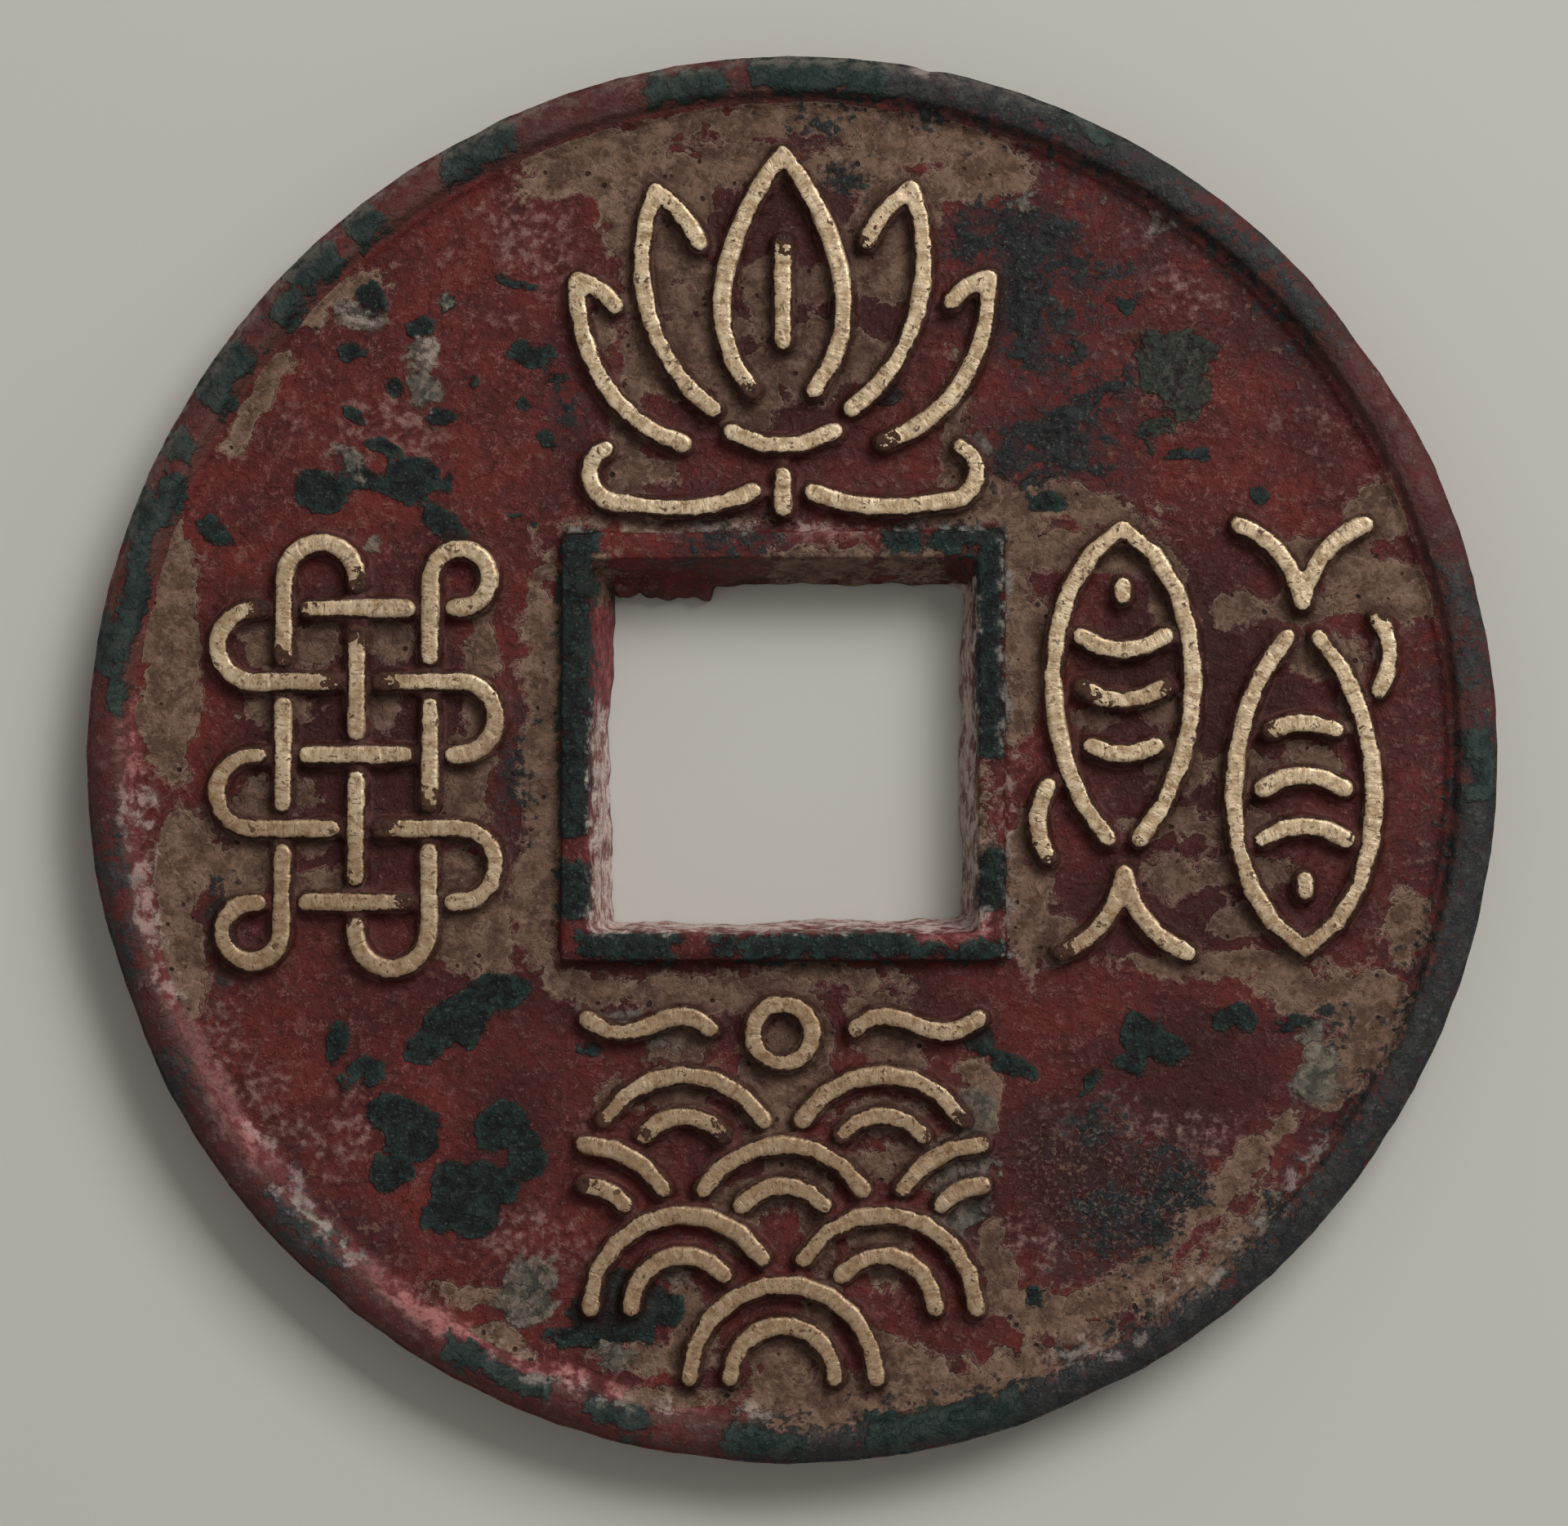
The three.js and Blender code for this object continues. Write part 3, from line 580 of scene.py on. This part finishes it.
class Finish:
    """A material built node by node."""

    def __init__(self, name):
        self.material = bpy.data.materials.new(name)
        self.material.use_nodes = True
        self.tree = self.material.node_tree
        self.tree.nodes.clear()

    def node(self, kind, settings, sockets, output=0):
        made = self.tree.nodes.new(kind)
        for name, value in settings.items():
            setattr(made, name, value)
        for key, value in sockets.items():
            if isinstance(value, Shade):
                self.tree.links.new(value.socket, made.inputs[key])
            else:
                made.inputs[key].default_value = value
        return Shade(self, made.outputs[output]) if made.outputs else None

    def place(self):
        """Object coordinates in millimetres."""
        metres = self.node("ShaderNodeTexCoord", {}, {}, 3)
        return self.node("ShaderNodeVectorMath", {"operation": "SCALE"}, {0: metres, "Scale": MILLIMETRES})

    def mottle(self, place, scale, detail, roughness, curl=0.0):
        sockets = {"Vector": place, "Scale": scale, "Detail": detail}
        sockets |= {"Roughness": roughness, "Distortion": curl}
        return self.node("ShaderNodeTexNoise", {}, sockets)

    def hairs(self, place, scale, width, curl):
        """Fine crooked lines, along the middle level of a curled noise."""
        return self.rise(abs(self.mottle(place, scale, 2.0, 0.5, curl) - 0.5), width, width * 0.3)

    def stretched(self, place, across, down, deep):
        """The same places pulled out or pressed together, for streaks."""
        sockets = {0: place, 1: (across, down, deep)}
        return self.node("ShaderNodeVectorMath", {"operation": "MULTIPLY"}, sockets)

    def carried(self, name):
        return self.node("ShaderNodeAttribute", {"attribute_name": name}, {}, 2)

    def rise(self, value, low, high):
        """0 up to low, 1 from high on, and a soft slope between them."""
        sockets = {"Value": value, "From Min": low, "From Max": high}
        return self.node("ShaderNodeMapRange", {"interpolation_type": "SMOOTHSTEP"}, sockets)

    def mixed(self, share, first, second):
        return self.node("ShaderNodeMix", {"data_type": "RGBA"}, {0: share, 6: first, 7: second}, 2)

    def raised(self, height):
        """Relief from a height in millimetres."""
        sockets = {"Strength": 1.0, "Distance": 1 / MILLIMETRES, "Height": height}
        return self.node("ShaderNodeBump", {}, sockets)

    def done(self, sockets):
        surface = self.node("ShaderNodeBsdfPrincipled", {}, sockets)
        self.node("ShaderNodeOutputMaterial", {}, {"Surface": surface})
        return self.material


def paint(red, green, blue):
    """A colour as it is read off a screen, 0 to 255, in the renderer's own scale."""
    channels = [c / 255 for c in (red, green, blue)]
    return (*[c / 12.92 if c <= 0.04045 else ((c + 0.055) / 1.055) ** 2.4 for c in channels], 1.0)


patina = Finish("burial_patina")
place = patina.place()

# Noises that every layer of the patina draws on, from the broadest to the finest
cloud = patina.mottle(place, 0.4, 3, 0.55)
blotch = patina.mottle(place, 1.3, 4, 0.55)
tear = patina.mottle(place, 1.9, 5, 0.64)
flake = patina.mottle(place, 1.4, 4, 0.6, 0.8)
wrinkle = patina.mottle(place, 1.8, 3, 0.55, 2.2)
grain = patina.mottle(place, 3.6, 3, 0.58)
speck = patina.mottle(place, 8.0, 1, 0.5)
streak = patina.mottle(patina.stretched(place, 1.5, 1.5, 4.5), 1.0, 5, 0.66, 0.6)
ragged = (tear - 0.5) * 1.1 + (grain - 0.5) * 0.5
hair = patina.hairs(place, 1.6, 0.04, 1.6) * patina.rise(grain, 0.5, 0.58)
fine_hair = patina.hairs(place, 3.4, 0.05, 1.2) * patina.rise(tear, 0.52, 0.6)
thin_share = patina.rise(patina.carried("thin"), -0.2, 0.5)
splinter = patina.hairs(place, 3.0, 0.05, 0.6) * patina.rise(speck, 0.46, 0.56) * thin_share

# Red skin: flaked, with painted highlights on the flakes' edges, painted shade within the ornaments, and
# painted light at the rim's foot
flake_step = patina.rise(flake, 0.52, 0.55)
# Painted highlights along the edges of the flakes
flake_edge_highlight = patina.rise(flake, 0.49, 0.52) * patina.rise(flake, 0.56, 0.53) * patina.rise(tear, 0.5, 0.58)
red_skin = patina.mixed(patina.rise(cloud, 0.34, 0.66), paint(69, 26, 22), paint(97, 35, 30))
red_skin = patina.mixed(patina.rise(blotch, 0.48, 0.62) * 0.45, red_skin, paint(60, 26, 24))
red_skin = patina.mixed(flake_step * 0.3, red_skin, paint(98, 38, 32))
red_skin = patina.mixed(patina.rise(grain, 0.52, 0.66) * 0.35, red_skin, paint(108, 48, 42))
red_skin = patina.mixed(patina.rise(grain, 0.44, 0.32) * 0.5, red_skin, paint(44, 19, 16))
red_skin = patina.mixed(flake_edge_highlight * 0.3, red_skin, paint(140, 92, 84))
red_skin = patina.mixed(hair * patina.rise(blotch, 0.45, 0.55) * 0.35, red_skin, paint(146, 102, 94))
red_skin = patina.mixed(fine_hair * 0.4, red_skin, paint(142, 96, 88))
# Painted shade: darker red within and around the ornaments on the front; on the back, darker patches
# strewn at random
shade_and_dark_share = patina.rise(patina.carried("deep") + ragged, -0.4, 2.0)
red_skin = patina.mixed(shade_and_dark_share * 0.68, red_skin, paint(34, 14, 12))
red_skin = patina.mixed(patina.rise(speck, 0.7, 0.76) * 0.35, red_skin, paint(140, 104, 94))
# The rim's skin, slate and green are painted lighter and greyer: partly a tint of the rim, partly painted
# light on the raised rim
rim_share = patina.carried("rim")
red_skin = patina.mixed(rim_share * 0.4, red_skin, paint(72, 44, 42))
# Painted light: the foot of the rim's inner slope is painted lighter to offset the shadow the rim casts
# there
foot_painted_light = patina.carried("foot")
red_skin = patina.mixed(foot_painted_light * 0.6, red_skin, paint(88, 63, 56))

# Earth, laid bare where the skin has come off, with pits and leftovers of skin
earth_depth = patina.carried("earth") + ragged * 0.6 + (flake - 0.5) * 0.8
earth_share = patina.rise(earth_depth, -0.2, -0.15)
earth = patina.mixed(patina.rise(blotch, 0.4, 0.6), paint(85, 64, 51), paint(116, 91, 75))
earth = patina.mixed(patina.rise(tear, 0.52, 0.64) * 0.35, earth, paint(138, 111, 92))
earth = patina.mixed(patina.rise(grain, 0.46, 0.36) * 0.45, earth, paint(60, 42, 32))
crumbled_edge = patina.rise(earth_depth, -0.02, -0.14) * patina.rise(tear, 0.4, 0.55)
earth = patina.mixed(crumbled_edge * 0.45, earth, paint(150, 124, 106))
earth = patina.mixed(patina.rise(wrinkle, 0.57, 0.64) * 0.35, earth, paint(148, 121, 105))
# The same painted shade on the earth
earth = patina.mixed(shade_and_dark_share * 0.2, earth, paint(44, 27, 21))
left_skin = patina.rise(flake, 0.6, 0.63) * patina.rise(grain, 0.42, 0.56)
earth = patina.mixed(left_skin * 0.6, earth, paint(68, 36, 30))
pits = patina.node("ShaderNodeTexVoronoi", {}, {"Vector": place, "Scale": 1.5, "Randomness": 1.0})
pit_share = patina.rise(pits - (grain - 0.5) * 0.3, 0.14, 0.07)
earth = patina.mixed(pit_share, earth, paint(46, 31, 26))
# A pale lip where the skin ends over the earth: partly a pale chipped edge, partly a painted highlight
lip_and_highlight_share = patina.rise(earth_depth, -0.28, -0.21) * (1 - earth_share) * patina.rise(blotch, 0.42, 0.58)

# Slate crust, with a dark haze about it
slate_depth = patina.carried("slate") + ragged * 1.1 + (flake - 0.5) * 1.5 + rim_share * 0.1
slate_edge = slate_depth - thin_share * 0.3 + (grain - 0.5) * (1.1 + thin_share * 1.2)
slate_share = patina.rise(slate_edge, -0.12, 0.14)
haze_share = patina.rise(slate_depth, -1.3, 0.0) * patina.rise(tear, 0.36, 0.54)
slate = patina.mixed(patina.rise(grain, 0.4, 0.6), paint(12, 16, 17), paint(31, 37, 38))
slate = patina.mixed(patina.rise(tear, 0.54, 0.66) * 0.35, slate, paint(58, 66, 66))
slate = patina.mixed(patina.rise(speck, 0.62, 0.72) * 0.35, slate, paint(112, 108, 98))
slate = patina.mixed(patina.rise(blotch, 0.53, 0.62) * 0.5, slate, paint(54, 32, 32))
slate = patina.mixed(rim_share * 0.3, slate, paint(54, 59, 60))

# Green crust, with a sharp edge painted lighter: partly a paler teal rim of the crust, partly a painted
# highlight
green_depth = patina.carried("green") + ragged * (0.45 + thin_share * 0.35)
green_share = patina.rise(green_depth, -0.06, 0.03)
green = patina.mixed(patina.rise(tear, 0.42, 0.62), paint(6, 15, 15), paint(20, 35, 32))
green = patina.mixed(patina.rise(grain, 0.54, 0.68) * 0.4, green, paint(44, 66, 61))
green_edge_and_highlight = patina.rise(green_depth, 0.16, 0.0) * patina.rise(tear, 0.42, 0.55)
green = patina.mixed(green_edge_and_highlight * 0.3, green, paint(50, 72, 67))
green = patina.mixed(patina.rise(speck, 0.62, 0.72) * 0.2, green, paint(96, 112, 104))
green = patina.mixed(rim_share * 0.35, green, paint(48, 66, 62))
green = patina.mixed(thin_share * patina.rise(tear, 0.38, 0.56) * 0.6, green, paint(40, 54, 43))
green = patina.mixed(thin_share * patina.rise(grain, 0.54, 0.62) * 0.4, green, paint(76, 74, 63))

# Pale crust, and the shares of scuffs, worn skin with the painted highlight on the rim's lit slope, and
# chalk with painted highlights
pale_share = patina.rise(patina.carried("pale") + ragged * 0.9, -0.1, 0.08)
pale = patina.mixed(patina.rise(cloud, 0.44, 0.56), paint(94, 84, 72), paint(124, 112, 99))
pale = patina.mixed(patina.rise(blotch, 0.44, 0.58) * 0.6, pale, paint(76, 80, 71))
pale = patina.mixed(patina.rise(grain, 0.5, 0.62) * 0.4, pale, paint(152, 138, 123))
pale = patina.mixed(patina.rise(tear, 0.53, 0.43) * 0.75, pale, paint(42, 52, 47))
smear = patina.rise(tear * 0.6 + grain * 0.4, 0.43, 0.6)
scuff_share = patina.rise(patina.carried("scuff") + ragged * 0.7, -0.3, 0.35) * smear
worn_and_highlight_share = patina.rise(patina.carried("worn") + ragged * 0.35, -0.1, 0.1)
chalk_and_highlight_share = patina.rise(patina.carried("chalk") + ragged * 0.4, -0.08, 0.06)

# Dirt and painted shade in the hollows, bright worn edges, and along the gold dark seams with painted
# shade on the ribs' walls and a painted highlight on the flanks just beyond
hollow = patina.carried("hollow")
edge_share = patina.rise(hollow * -1 + (tear - 0.5) * 0.5, 0.12, 0.26)
dirt_and_painted_shade = patina.rise(hollow + (grain - 0.5) * 0.12, 0.1, 0.3)
gap = patina.carried("gap")
seam_and_painted_shade = patina.rise(gap + (tear - 0.5) * 0.3, 0.18, 0.07)
seam_and_painted_shade = seam_and_painted_shade * (0.35 + patina.rise(flake, 0.42, 0.56) * 0.65)
flank_painted_highlight = patina.rise(gap + (tear - 0.5) * 0.12, 0.24, 0.16) * patina.rise(blotch, 0.44, 0.58)

# Rubbed skin and chalk run in upright streaks down the walls of the hole; off the walls the same colours
# make the painted highlights on the rim and bars and the chalk spots in the field
on_wall = patina.carried("wall")
drawn = (streak * 0.5 + tear * 0.5) * on_wall + tear * (1 - on_wall)
worn_and_lit_skin = patina.mixed(patina.rise(drawn, 0.44, 0.6), paint(106, 48, 49), paint(150, 88, 87))
# Painted highlight, brighter still, on the rim's lit inner slope
rim_painted_highlight = (1 - on_wall) * patina.rise(drawn, 0.4, 0.56)
worn_and_lit_skin = patina.mixed(rim_painted_highlight * 0.3, worn_and_lit_skin, paint(196, 140, 134))
chalk = patina.mixed(patina.rise(drawn, 0.42, 0.56), paint(150, 116, 110), paint(196, 178, 168))
chalk_on_wall = 0.4 + patina.rise(drawn, 0.4, 0.52) * 0.5
chalk_and_highlight_elsewhere = patina.rise(drawn, 0.44, 0.6) * 0.32
chalk_depth = on_wall * chalk_on_wall + (1 - on_wall) * chalk_and_highlight_elsewhere

# The layers, from the skin up to the dirt and the painted shade
colour = patina.mixed(worn_and_highlight_share * 0.85, red_skin, worn_and_lit_skin)
# Painted highlight on the rib flanks beside the gold
colour = patina.mixed(flank_painted_highlight * 0.5, colour, paint(128, 84, 79))
colour = patina.mixed(haze_share * 0.62, colour, paint(46, 31, 31))
colour = patina.mixed(haze_share * patina.rise(grain, 0.58, 0.66) * 0.6, colour, paint(124, 98, 82))
scuff = patina.mixed(patina.rise(grain, 0.45, 0.62), paint(110, 71, 67), paint(144, 112, 104))
colour = patina.mixed(scuff_share * 0.58, colour, scuff)
colour = patina.mixed(earth_share, colour, earth)
colour = patina.mixed(lip_and_highlight_share * 0.6, colour, paint(138, 104, 92))
colour = patina.mixed(slate_share * 0.94, colour, slate)
colour = patina.mixed(green_share * (0.97 - thin_share * 0.08), colour, green)
colour = patina.mixed(splinter * (0.32 - green_share * 0.2), colour, paint(134, 106, 93))
colour = patina.mixed(rim_share * patina.rise(tear, 0.42, 0.64) * 0.14, colour, paint(98, 90, 82))
colour = patina.mixed(pale_share * 0.85, colour, pale)
colour = patina.mixed(chalk_and_highlight_share * chalk_depth, colour, chalk)
colour = patina.mixed(edge_share * 0.4, colour, paint(144, 112, 102))
# Dirt and painted shade in the hollows, less of it at the rim's foot
colour = patina.mixed(dirt_and_painted_shade * (0.55 - foot_painted_light * 0.4), colour, paint(42, 24, 18))
# Partly rubbed wear, partly a painted highlight on the outer corner over the upper left
rubbed_and_highlight_share = patina.carried("rubbed_and_highlight") * patina.rise(tear, 0.36, 0.6)
colour = patina.mixed(rubbed_and_highlight_share * 0.5, colour, paint(128, 113, 104))
# Painted shade in the nooks beside the ribs
nook_painted_shade = patina.rise(gap + (tear - 0.5) * 0.3, 0.6, 0.15)
colour = patina.mixed(nook_painted_shade * 0.36, colour, paint(52, 25, 18))
# Dark seams along the gold, with painted shade on the ribs' walls
colour = patina.mixed(seam_and_painted_shade * 0.7, colour, paint(52, 27, 18))

# Relief in millimetres, and how dull each layer is
height = tear * 0.07 + grain * 0.06 + speck * 0.012 + hair * 0.015 + flake_step * 0.025
height = height + streak * on_wall * 0.06 + (1 - earth_share) * 0.085 + green_share * 0.05
height = height + pale_share * 0.03 - pit_share * earth_share * 0.06
dull = 0.64 + (grain - 0.5) * 0.25 + earth_share * 0.15
casting.data.materials.append(patina.done({
    "Base Color": colour, "Roughness": dull, "Metallic": 0.0, "Specular IOR Level": 0.2,
    "Normal": patina.raised(height),
}))
for polygon in casting.data.polygons:
    polygon.use_smooth = True
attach(casting, "root")
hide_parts("coin_body")

# The gold facing: one thin hammered strip of gold on the flat top of each rib, bedded in the bronze.
# Rubbing it smooth left scratches across it, and it is worn through at some ends.
STRIP_VOXEL = 0.055
BEDDING = 0.16
GOLD_BED = 2.57
UNDERSIDE = GOLD_BED + 0.05
LINE_STEP = 0.25
LINE_EASINGS = 4
SIDE_WALL = 0.45
BLOCK = 2000


def walked(start, links, lengths):
    """Distances over a strip's surface from one vertex to every other."""
    known = np.full(len(links), np.inf)
    known[start] = 0
    queue = [(0.0, start)]
    while queue:
        distance, here = heapq.heappop(queue)
        if distance > known[here]:
            continue
        for there, step in zip(links[here], lengths[here]):
            if distance + step < known[there]:
                known[there] = distance + step
                heapq.heappush(queue, (distance + step, there))
    return known


def middle_line(places, edges):
    """Points down the middle of a strip, from one end to the other."""
    links, lengths = [[] for _ in places], [[] for _ in places]
    steps = np.linalg.norm(places[edges[:, 0]] - places[edges[:, 1]], axis=1)
    for (a, b), step in zip(edges.tolist(), steps):
        links[a].append(b)
        links[b].append(a)
        lengths[a].append(step)
        lengths[b].append(step)
    far_end = int(np.argmax(walked(0, links, lengths)))
    walk = walked(far_end, links, lengths)
    bins = (walk / LINE_STEP).astype(int)
    line = np.array([places[bins == b, :2].mean(0) for b in range(bins.max() + 1) if (bins == b).any()])
    for _ in range(LINE_EASINGS):
        line[1:-1] = (line[:-2] + 2 * line[1:-1] + line[2:]) / 4
    first, last = line[0] - line[1], line[-1] - line[-2]
    return np.vstack([line[0] + 2 * first, line, line[-1] + 2 * last])


def measured(places, line):
    """Each place's distance along a line, and how far it lies beside it."""
    starts, spans = line[:-1], np.diff(line, axis=0)
    lengths = np.linalg.norm(spans, axis=1)
    before = np.concatenate([[0], np.cumsum(lengths)[:-1]])
    off = places[:, None, :2] - starts[None]
    share = np.clip((off * spans[None]).sum(2) / (lengths ** 2)[None], 0, 1)
    rest = off - share[..., None] * spans[None]
    distance = np.linalg.norm(rest, axis=2)
    nearest = distance.argmin(1)
    rows = np.arange(len(places))
    side = np.sign(spans[nearest, 0] * rest[rows, nearest, 1] - spans[nearest, 1] * rest[rows, nearest, 0])
    return before[nearest] + share[rows, nearest] * lengths[nearest], side * distance[rows, nearest]


def inside_edge(places, normals):
    """How far each place lies from the strip's nearest side wall."""
    walls = places[(np.abs(normals[:, 2]) < SIDE_WALL) & (places[:, 2] > GOLD_BED)]
    nearest = np.zeros(len(places))
    for first in range(0, len(places), BLOCK):
        apart = places[first:first + BLOCK, None, :2] - walls[None, :, :2]
        nearest[first:first + BLOCK] = np.sqrt((apart ** 2).sum(2).min(1))
    return nearest


gilt = Finish("hammered_gold")
place = gilt.place()
lengthwise, crosswise = gilt.carried("along"), gilt.carried("beside")
strip_apart = gilt.carried("strip")
follow = gilt.node("ShaderNodeCombineXYZ", {}, {0: lengthwise * 4.6, 1: crosswise * 1.6, 2: strip_apart})
scratch = gilt.mottle(follow, 1.0, 3, 0.6, 0.3)
follow_fine = gilt.node(
    "ShaderNodeCombineXYZ", {}, {0: lengthwise * 11.0, 1: crosswise * 2.6, 2: strip_apart}
)
fine_scratch = gilt.mottle(follow_fine, 1.0, 2, 0.5)
dent = gilt.mottle(place, 2.2, 3, 0.55)
thin = gilt.mottle(place, 0.55, 2, 0.5)
wear = gilt.mottle(place, 4.6, 2, 0.55, 0.6)
nick = gilt.mottle(place, 8.0, 1, 0.5)
broad = gilt.mottle(place, 0.3, 3, 0.5)
patchy = gilt.rise(gilt.mottle(place, 0.8, 2, 0.5), 0.42, 0.58)
crease = gilt.rise(fine_scratch, 0.4, 0.3) * gilt.rise(dent, 0.46, 0.58)

# Gold: light and dark scratches across the strip with painted glints on the finer ones, dents, nicks, and
# darker and browner towards the lower left
gold = gilt.mixed(gilt.rise(dent, 0.38, 0.62), paint(175, 149, 115), paint(208, 184, 151))
gold = gilt.mixed(gilt.rise(scratch, 0.44, 0.62) * (0.2 + patchy * 0.5), gold, paint(226, 205, 173))
gold = gilt.mixed(gilt.rise(scratch, 0.42, 0.3) * (0.25 + patchy * 0.45), gold, paint(136, 103, 71))
# Painted glints along the finer scratches
gold = gilt.mixed(gilt.rise(fine_scratch, 0.56, 0.68) * 0.28, gold, paint(232, 213, 184))
gold = gilt.mixed(gilt.rise(wear, 0.55, 0.66) * 0.6, gold, paint(116, 85, 56))
gold = gilt.mixed(gilt.rise(nick, 0.62, 0.7) * 0.6, gold, paint(92, 64, 40))
gold = gilt.mixed(crease * 0.6, gold, paint(96, 67, 42))
rightwards = gilt.node("ShaderNodeSeparateXYZ", {}, {0: place})
upwards = gilt.node("ShaderNodeSeparateXYZ", {}, {0: place}, 1)
# Darker and browner towards the lower left
lower_left_darkening = gilt.rise((rightwards * 0.36 + upwards * 1.3) * -0.022 + broad, 0.4, 0.8)
gold = gilt.mixed(lower_left_darkening * 0.56, gold, paint(124, 91, 64))

# Bronze shows through along thin edges, at worn ends and in a few spots
bare = gilt.carried("inside") + (wear - 0.5) * 0.16 + (dent - 0.5) * 0.07 + (thin - 0.5) * 0.32
bare = gilt.rise(bare, 0.055, 0.025)
gone = gilt.rise(gilt.carried("worn") + (dent - 0.5) * 1.8 + (wear - 0.5) * 1.8, 0.0, 0.1)
spots = gilt.rise(wear + (dent - 0.5) * 0.8, 0.7, 0.76)
dark = gilt.node("ShaderNodeMath", {"operation": "MAXIMUM"}, {0: bare, 1: gone})
dark = gilt.node("ShaderNodeMath", {"operation": "MAXIMUM"}, {0: dark, 1: spots * 0.8})
bared_bronze = gilt.mixed(gilt.rise(wear, 0.4, 0.6), paint(44, 24, 15), paint(72, 45, 31))
colour = gilt.mixed(dark, gold, bared_bronze)
# Relief in millimetres, and how dull the gold and the bronze are
height = scratch * 0.022 + fine_scratch * 0.01 + dent * 0.025 + wear * 0.015 - dark * 0.02 - crease * 0.012
dull = 0.48 + (wear - 0.5) * 0.2 + dark * 0.28
hammered_gold = gilt.done({
    "Base Color": colour, "Roughness": dull, "Metallic": (1 - dark) * 0.5, "Specular IOR Level": 0.25,
    "Normal": gilt.raised(height),
})

# Every strip is laid the same way: bedded in the rib, hammered, eased at its edges, worn at some ends
SHORT_STRIP = 2.0
ENDS_WORN = 0.28
WORN_LENGTH = (0.1, 0.8)
WHOLE_END = -0.9
WHOLE_RING = -1.0
TOP_FACE = (2.6, 2.66)
EDGE_DROP = 0.03
EDGE_WIDTH = 0.12
SCRATCHES_APART = 3.7
worn_dice = np.random.default_rng(5)


def lost_at_end():
    """How much of a strip is worn through at one end, or less than 0 where it is whole."""
    if worn_dice.uniform() < ENDS_WORN:
        return worn_dice.uniform(*WORN_LENGTH)
    return WHOLE_END


for number, node in enumerate(gold_nodes):
    strip = copied(node, "gilt_" + node)
    places = places_of(strip)
    places[places[:, 2] < UNDERSIDE, 2] -= BEDDING
    move_to(strip, places)
    worked(strip, "REMESH", mode="VOXEL", voxel_size=STRIP_VOXEL)
    worked(strip, "SMOOTH", factor=0.5, iterations=1)
    roughened(strip, f"hammer_marks_{number}", grain=0.5, height=0.03)
    places = places_of(strip)
    if node == "wave_sun":
        centre = places[:, :2].mean(0)
        out = places[:, :2] - centre
        radius = np.hypot(out[:, 0], out[:, 1])
        along, beside = np.arctan2(out[:, 1], out[:, 0]) * radius.mean(), radius - radius.mean()
        worn = np.full(len(places), WHOLE_RING)
    else:
        along, beside = measured(places, middle_line(places, edges_of(strip)))
        start, end = along.min(), along.max()
        lost = [lost_at_end(), lost_at_end()]
        if end - start < SHORT_STRIP:
            lost = [WHOLE_END, WHOLE_END]
        worn = np.maximum(lost[0] - (along - start), lost[1] - (end - along))
    inside = inside_edge(places, normals_of(strip))
    top = smooth_rise(places[:, 2], *TOP_FACE)
    places[:, 2] -= EDGE_DROP * top * smooth_fall(inside, 0, EDGE_WIDTH)
    places[:, 2] = np.minimum(places[:, 2], RIM_LEVEL)
    move_to(strip, places)
    carry(strip, "along", along)
    carry(strip, "beside", beside)
    carry(strip, "worn", worn)
    carry(strip, "inside", inside)
    carry(strip, "strip", np.full(len(places), number * SCRATCHES_APART))
    rescaled(strip, 1 / MILLIMETRES)
    strip.data.materials.append(hammered_gold)
    for polygon in strip.data.polygons:
        polygon.use_smooth = True
    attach(strip, "root")
    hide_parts(node)

# The setting: a plain pale floor just under the coin, a soft even surround and one large lamp, high on
# the upper right. The camera stands above, a little to the right of the coin and below its middle.
FLOOR_LEVEL = -0.00006
bpy.ops.mesh.primitive_plane_add(size=0.6, location=(0, 0, FLOOR_LEVEL))
floor = bpy.context.active_object
floor.name = "floor"
matt = Finish("pale_floor")
floor.data.materials.append(matt.done({"Base Color": paint(192, 189, 181), "Roughness": 0.95}))

surround = bpy.data.worlds.new("soft_surround")
surround.use_nodes = True
surround.node_tree.nodes["Background"].inputs["Color"].default_value = (1.0, 0.985, 0.96, 1.0)
surround.node_tree.nodes["Background"].inputs["Strength"].default_value = 0.31
bpy.context.scene.world = surround

lamp_data = bpy.data.lights.new("key_lamp", "AREA")
lamp_data.shape = "RECTANGLE"
lamp_data.size = 0.26
lamp_data.size_y = 0.2
lamp_data.energy = 1.62
lamp = bpy.data.objects.new("key_lamp", lamp_data)
bpy.context.scene.collection.objects.link(lamp)
lamp.location = (0.2, 0.235, 0.325)
lamp.rotation_mode = "QUATERNION"
lamp.rotation_quaternion = (-Vector(lamp.location)).to_track_quat("-Z", "Y")

camera_data = bpy.data.cameras.new("photograph_view")
camera_data.lens = 129.73
camera_data.clip_start = 0.01
camera_data.clip_end = 5.0
camera = bpy.data.objects.new("photograph_view", camera_data)
bpy.context.scene.collection.objects.link(camera)
camera.location = (0.0072104, -0.0150829, 0.1815939)
camera.rotation_euler = (math.radians(4.7), math.radians(2.35), 0)
bpy.context.scene.camera = camera
bpy.context.scene.view_settings.view_transform = "Standard"
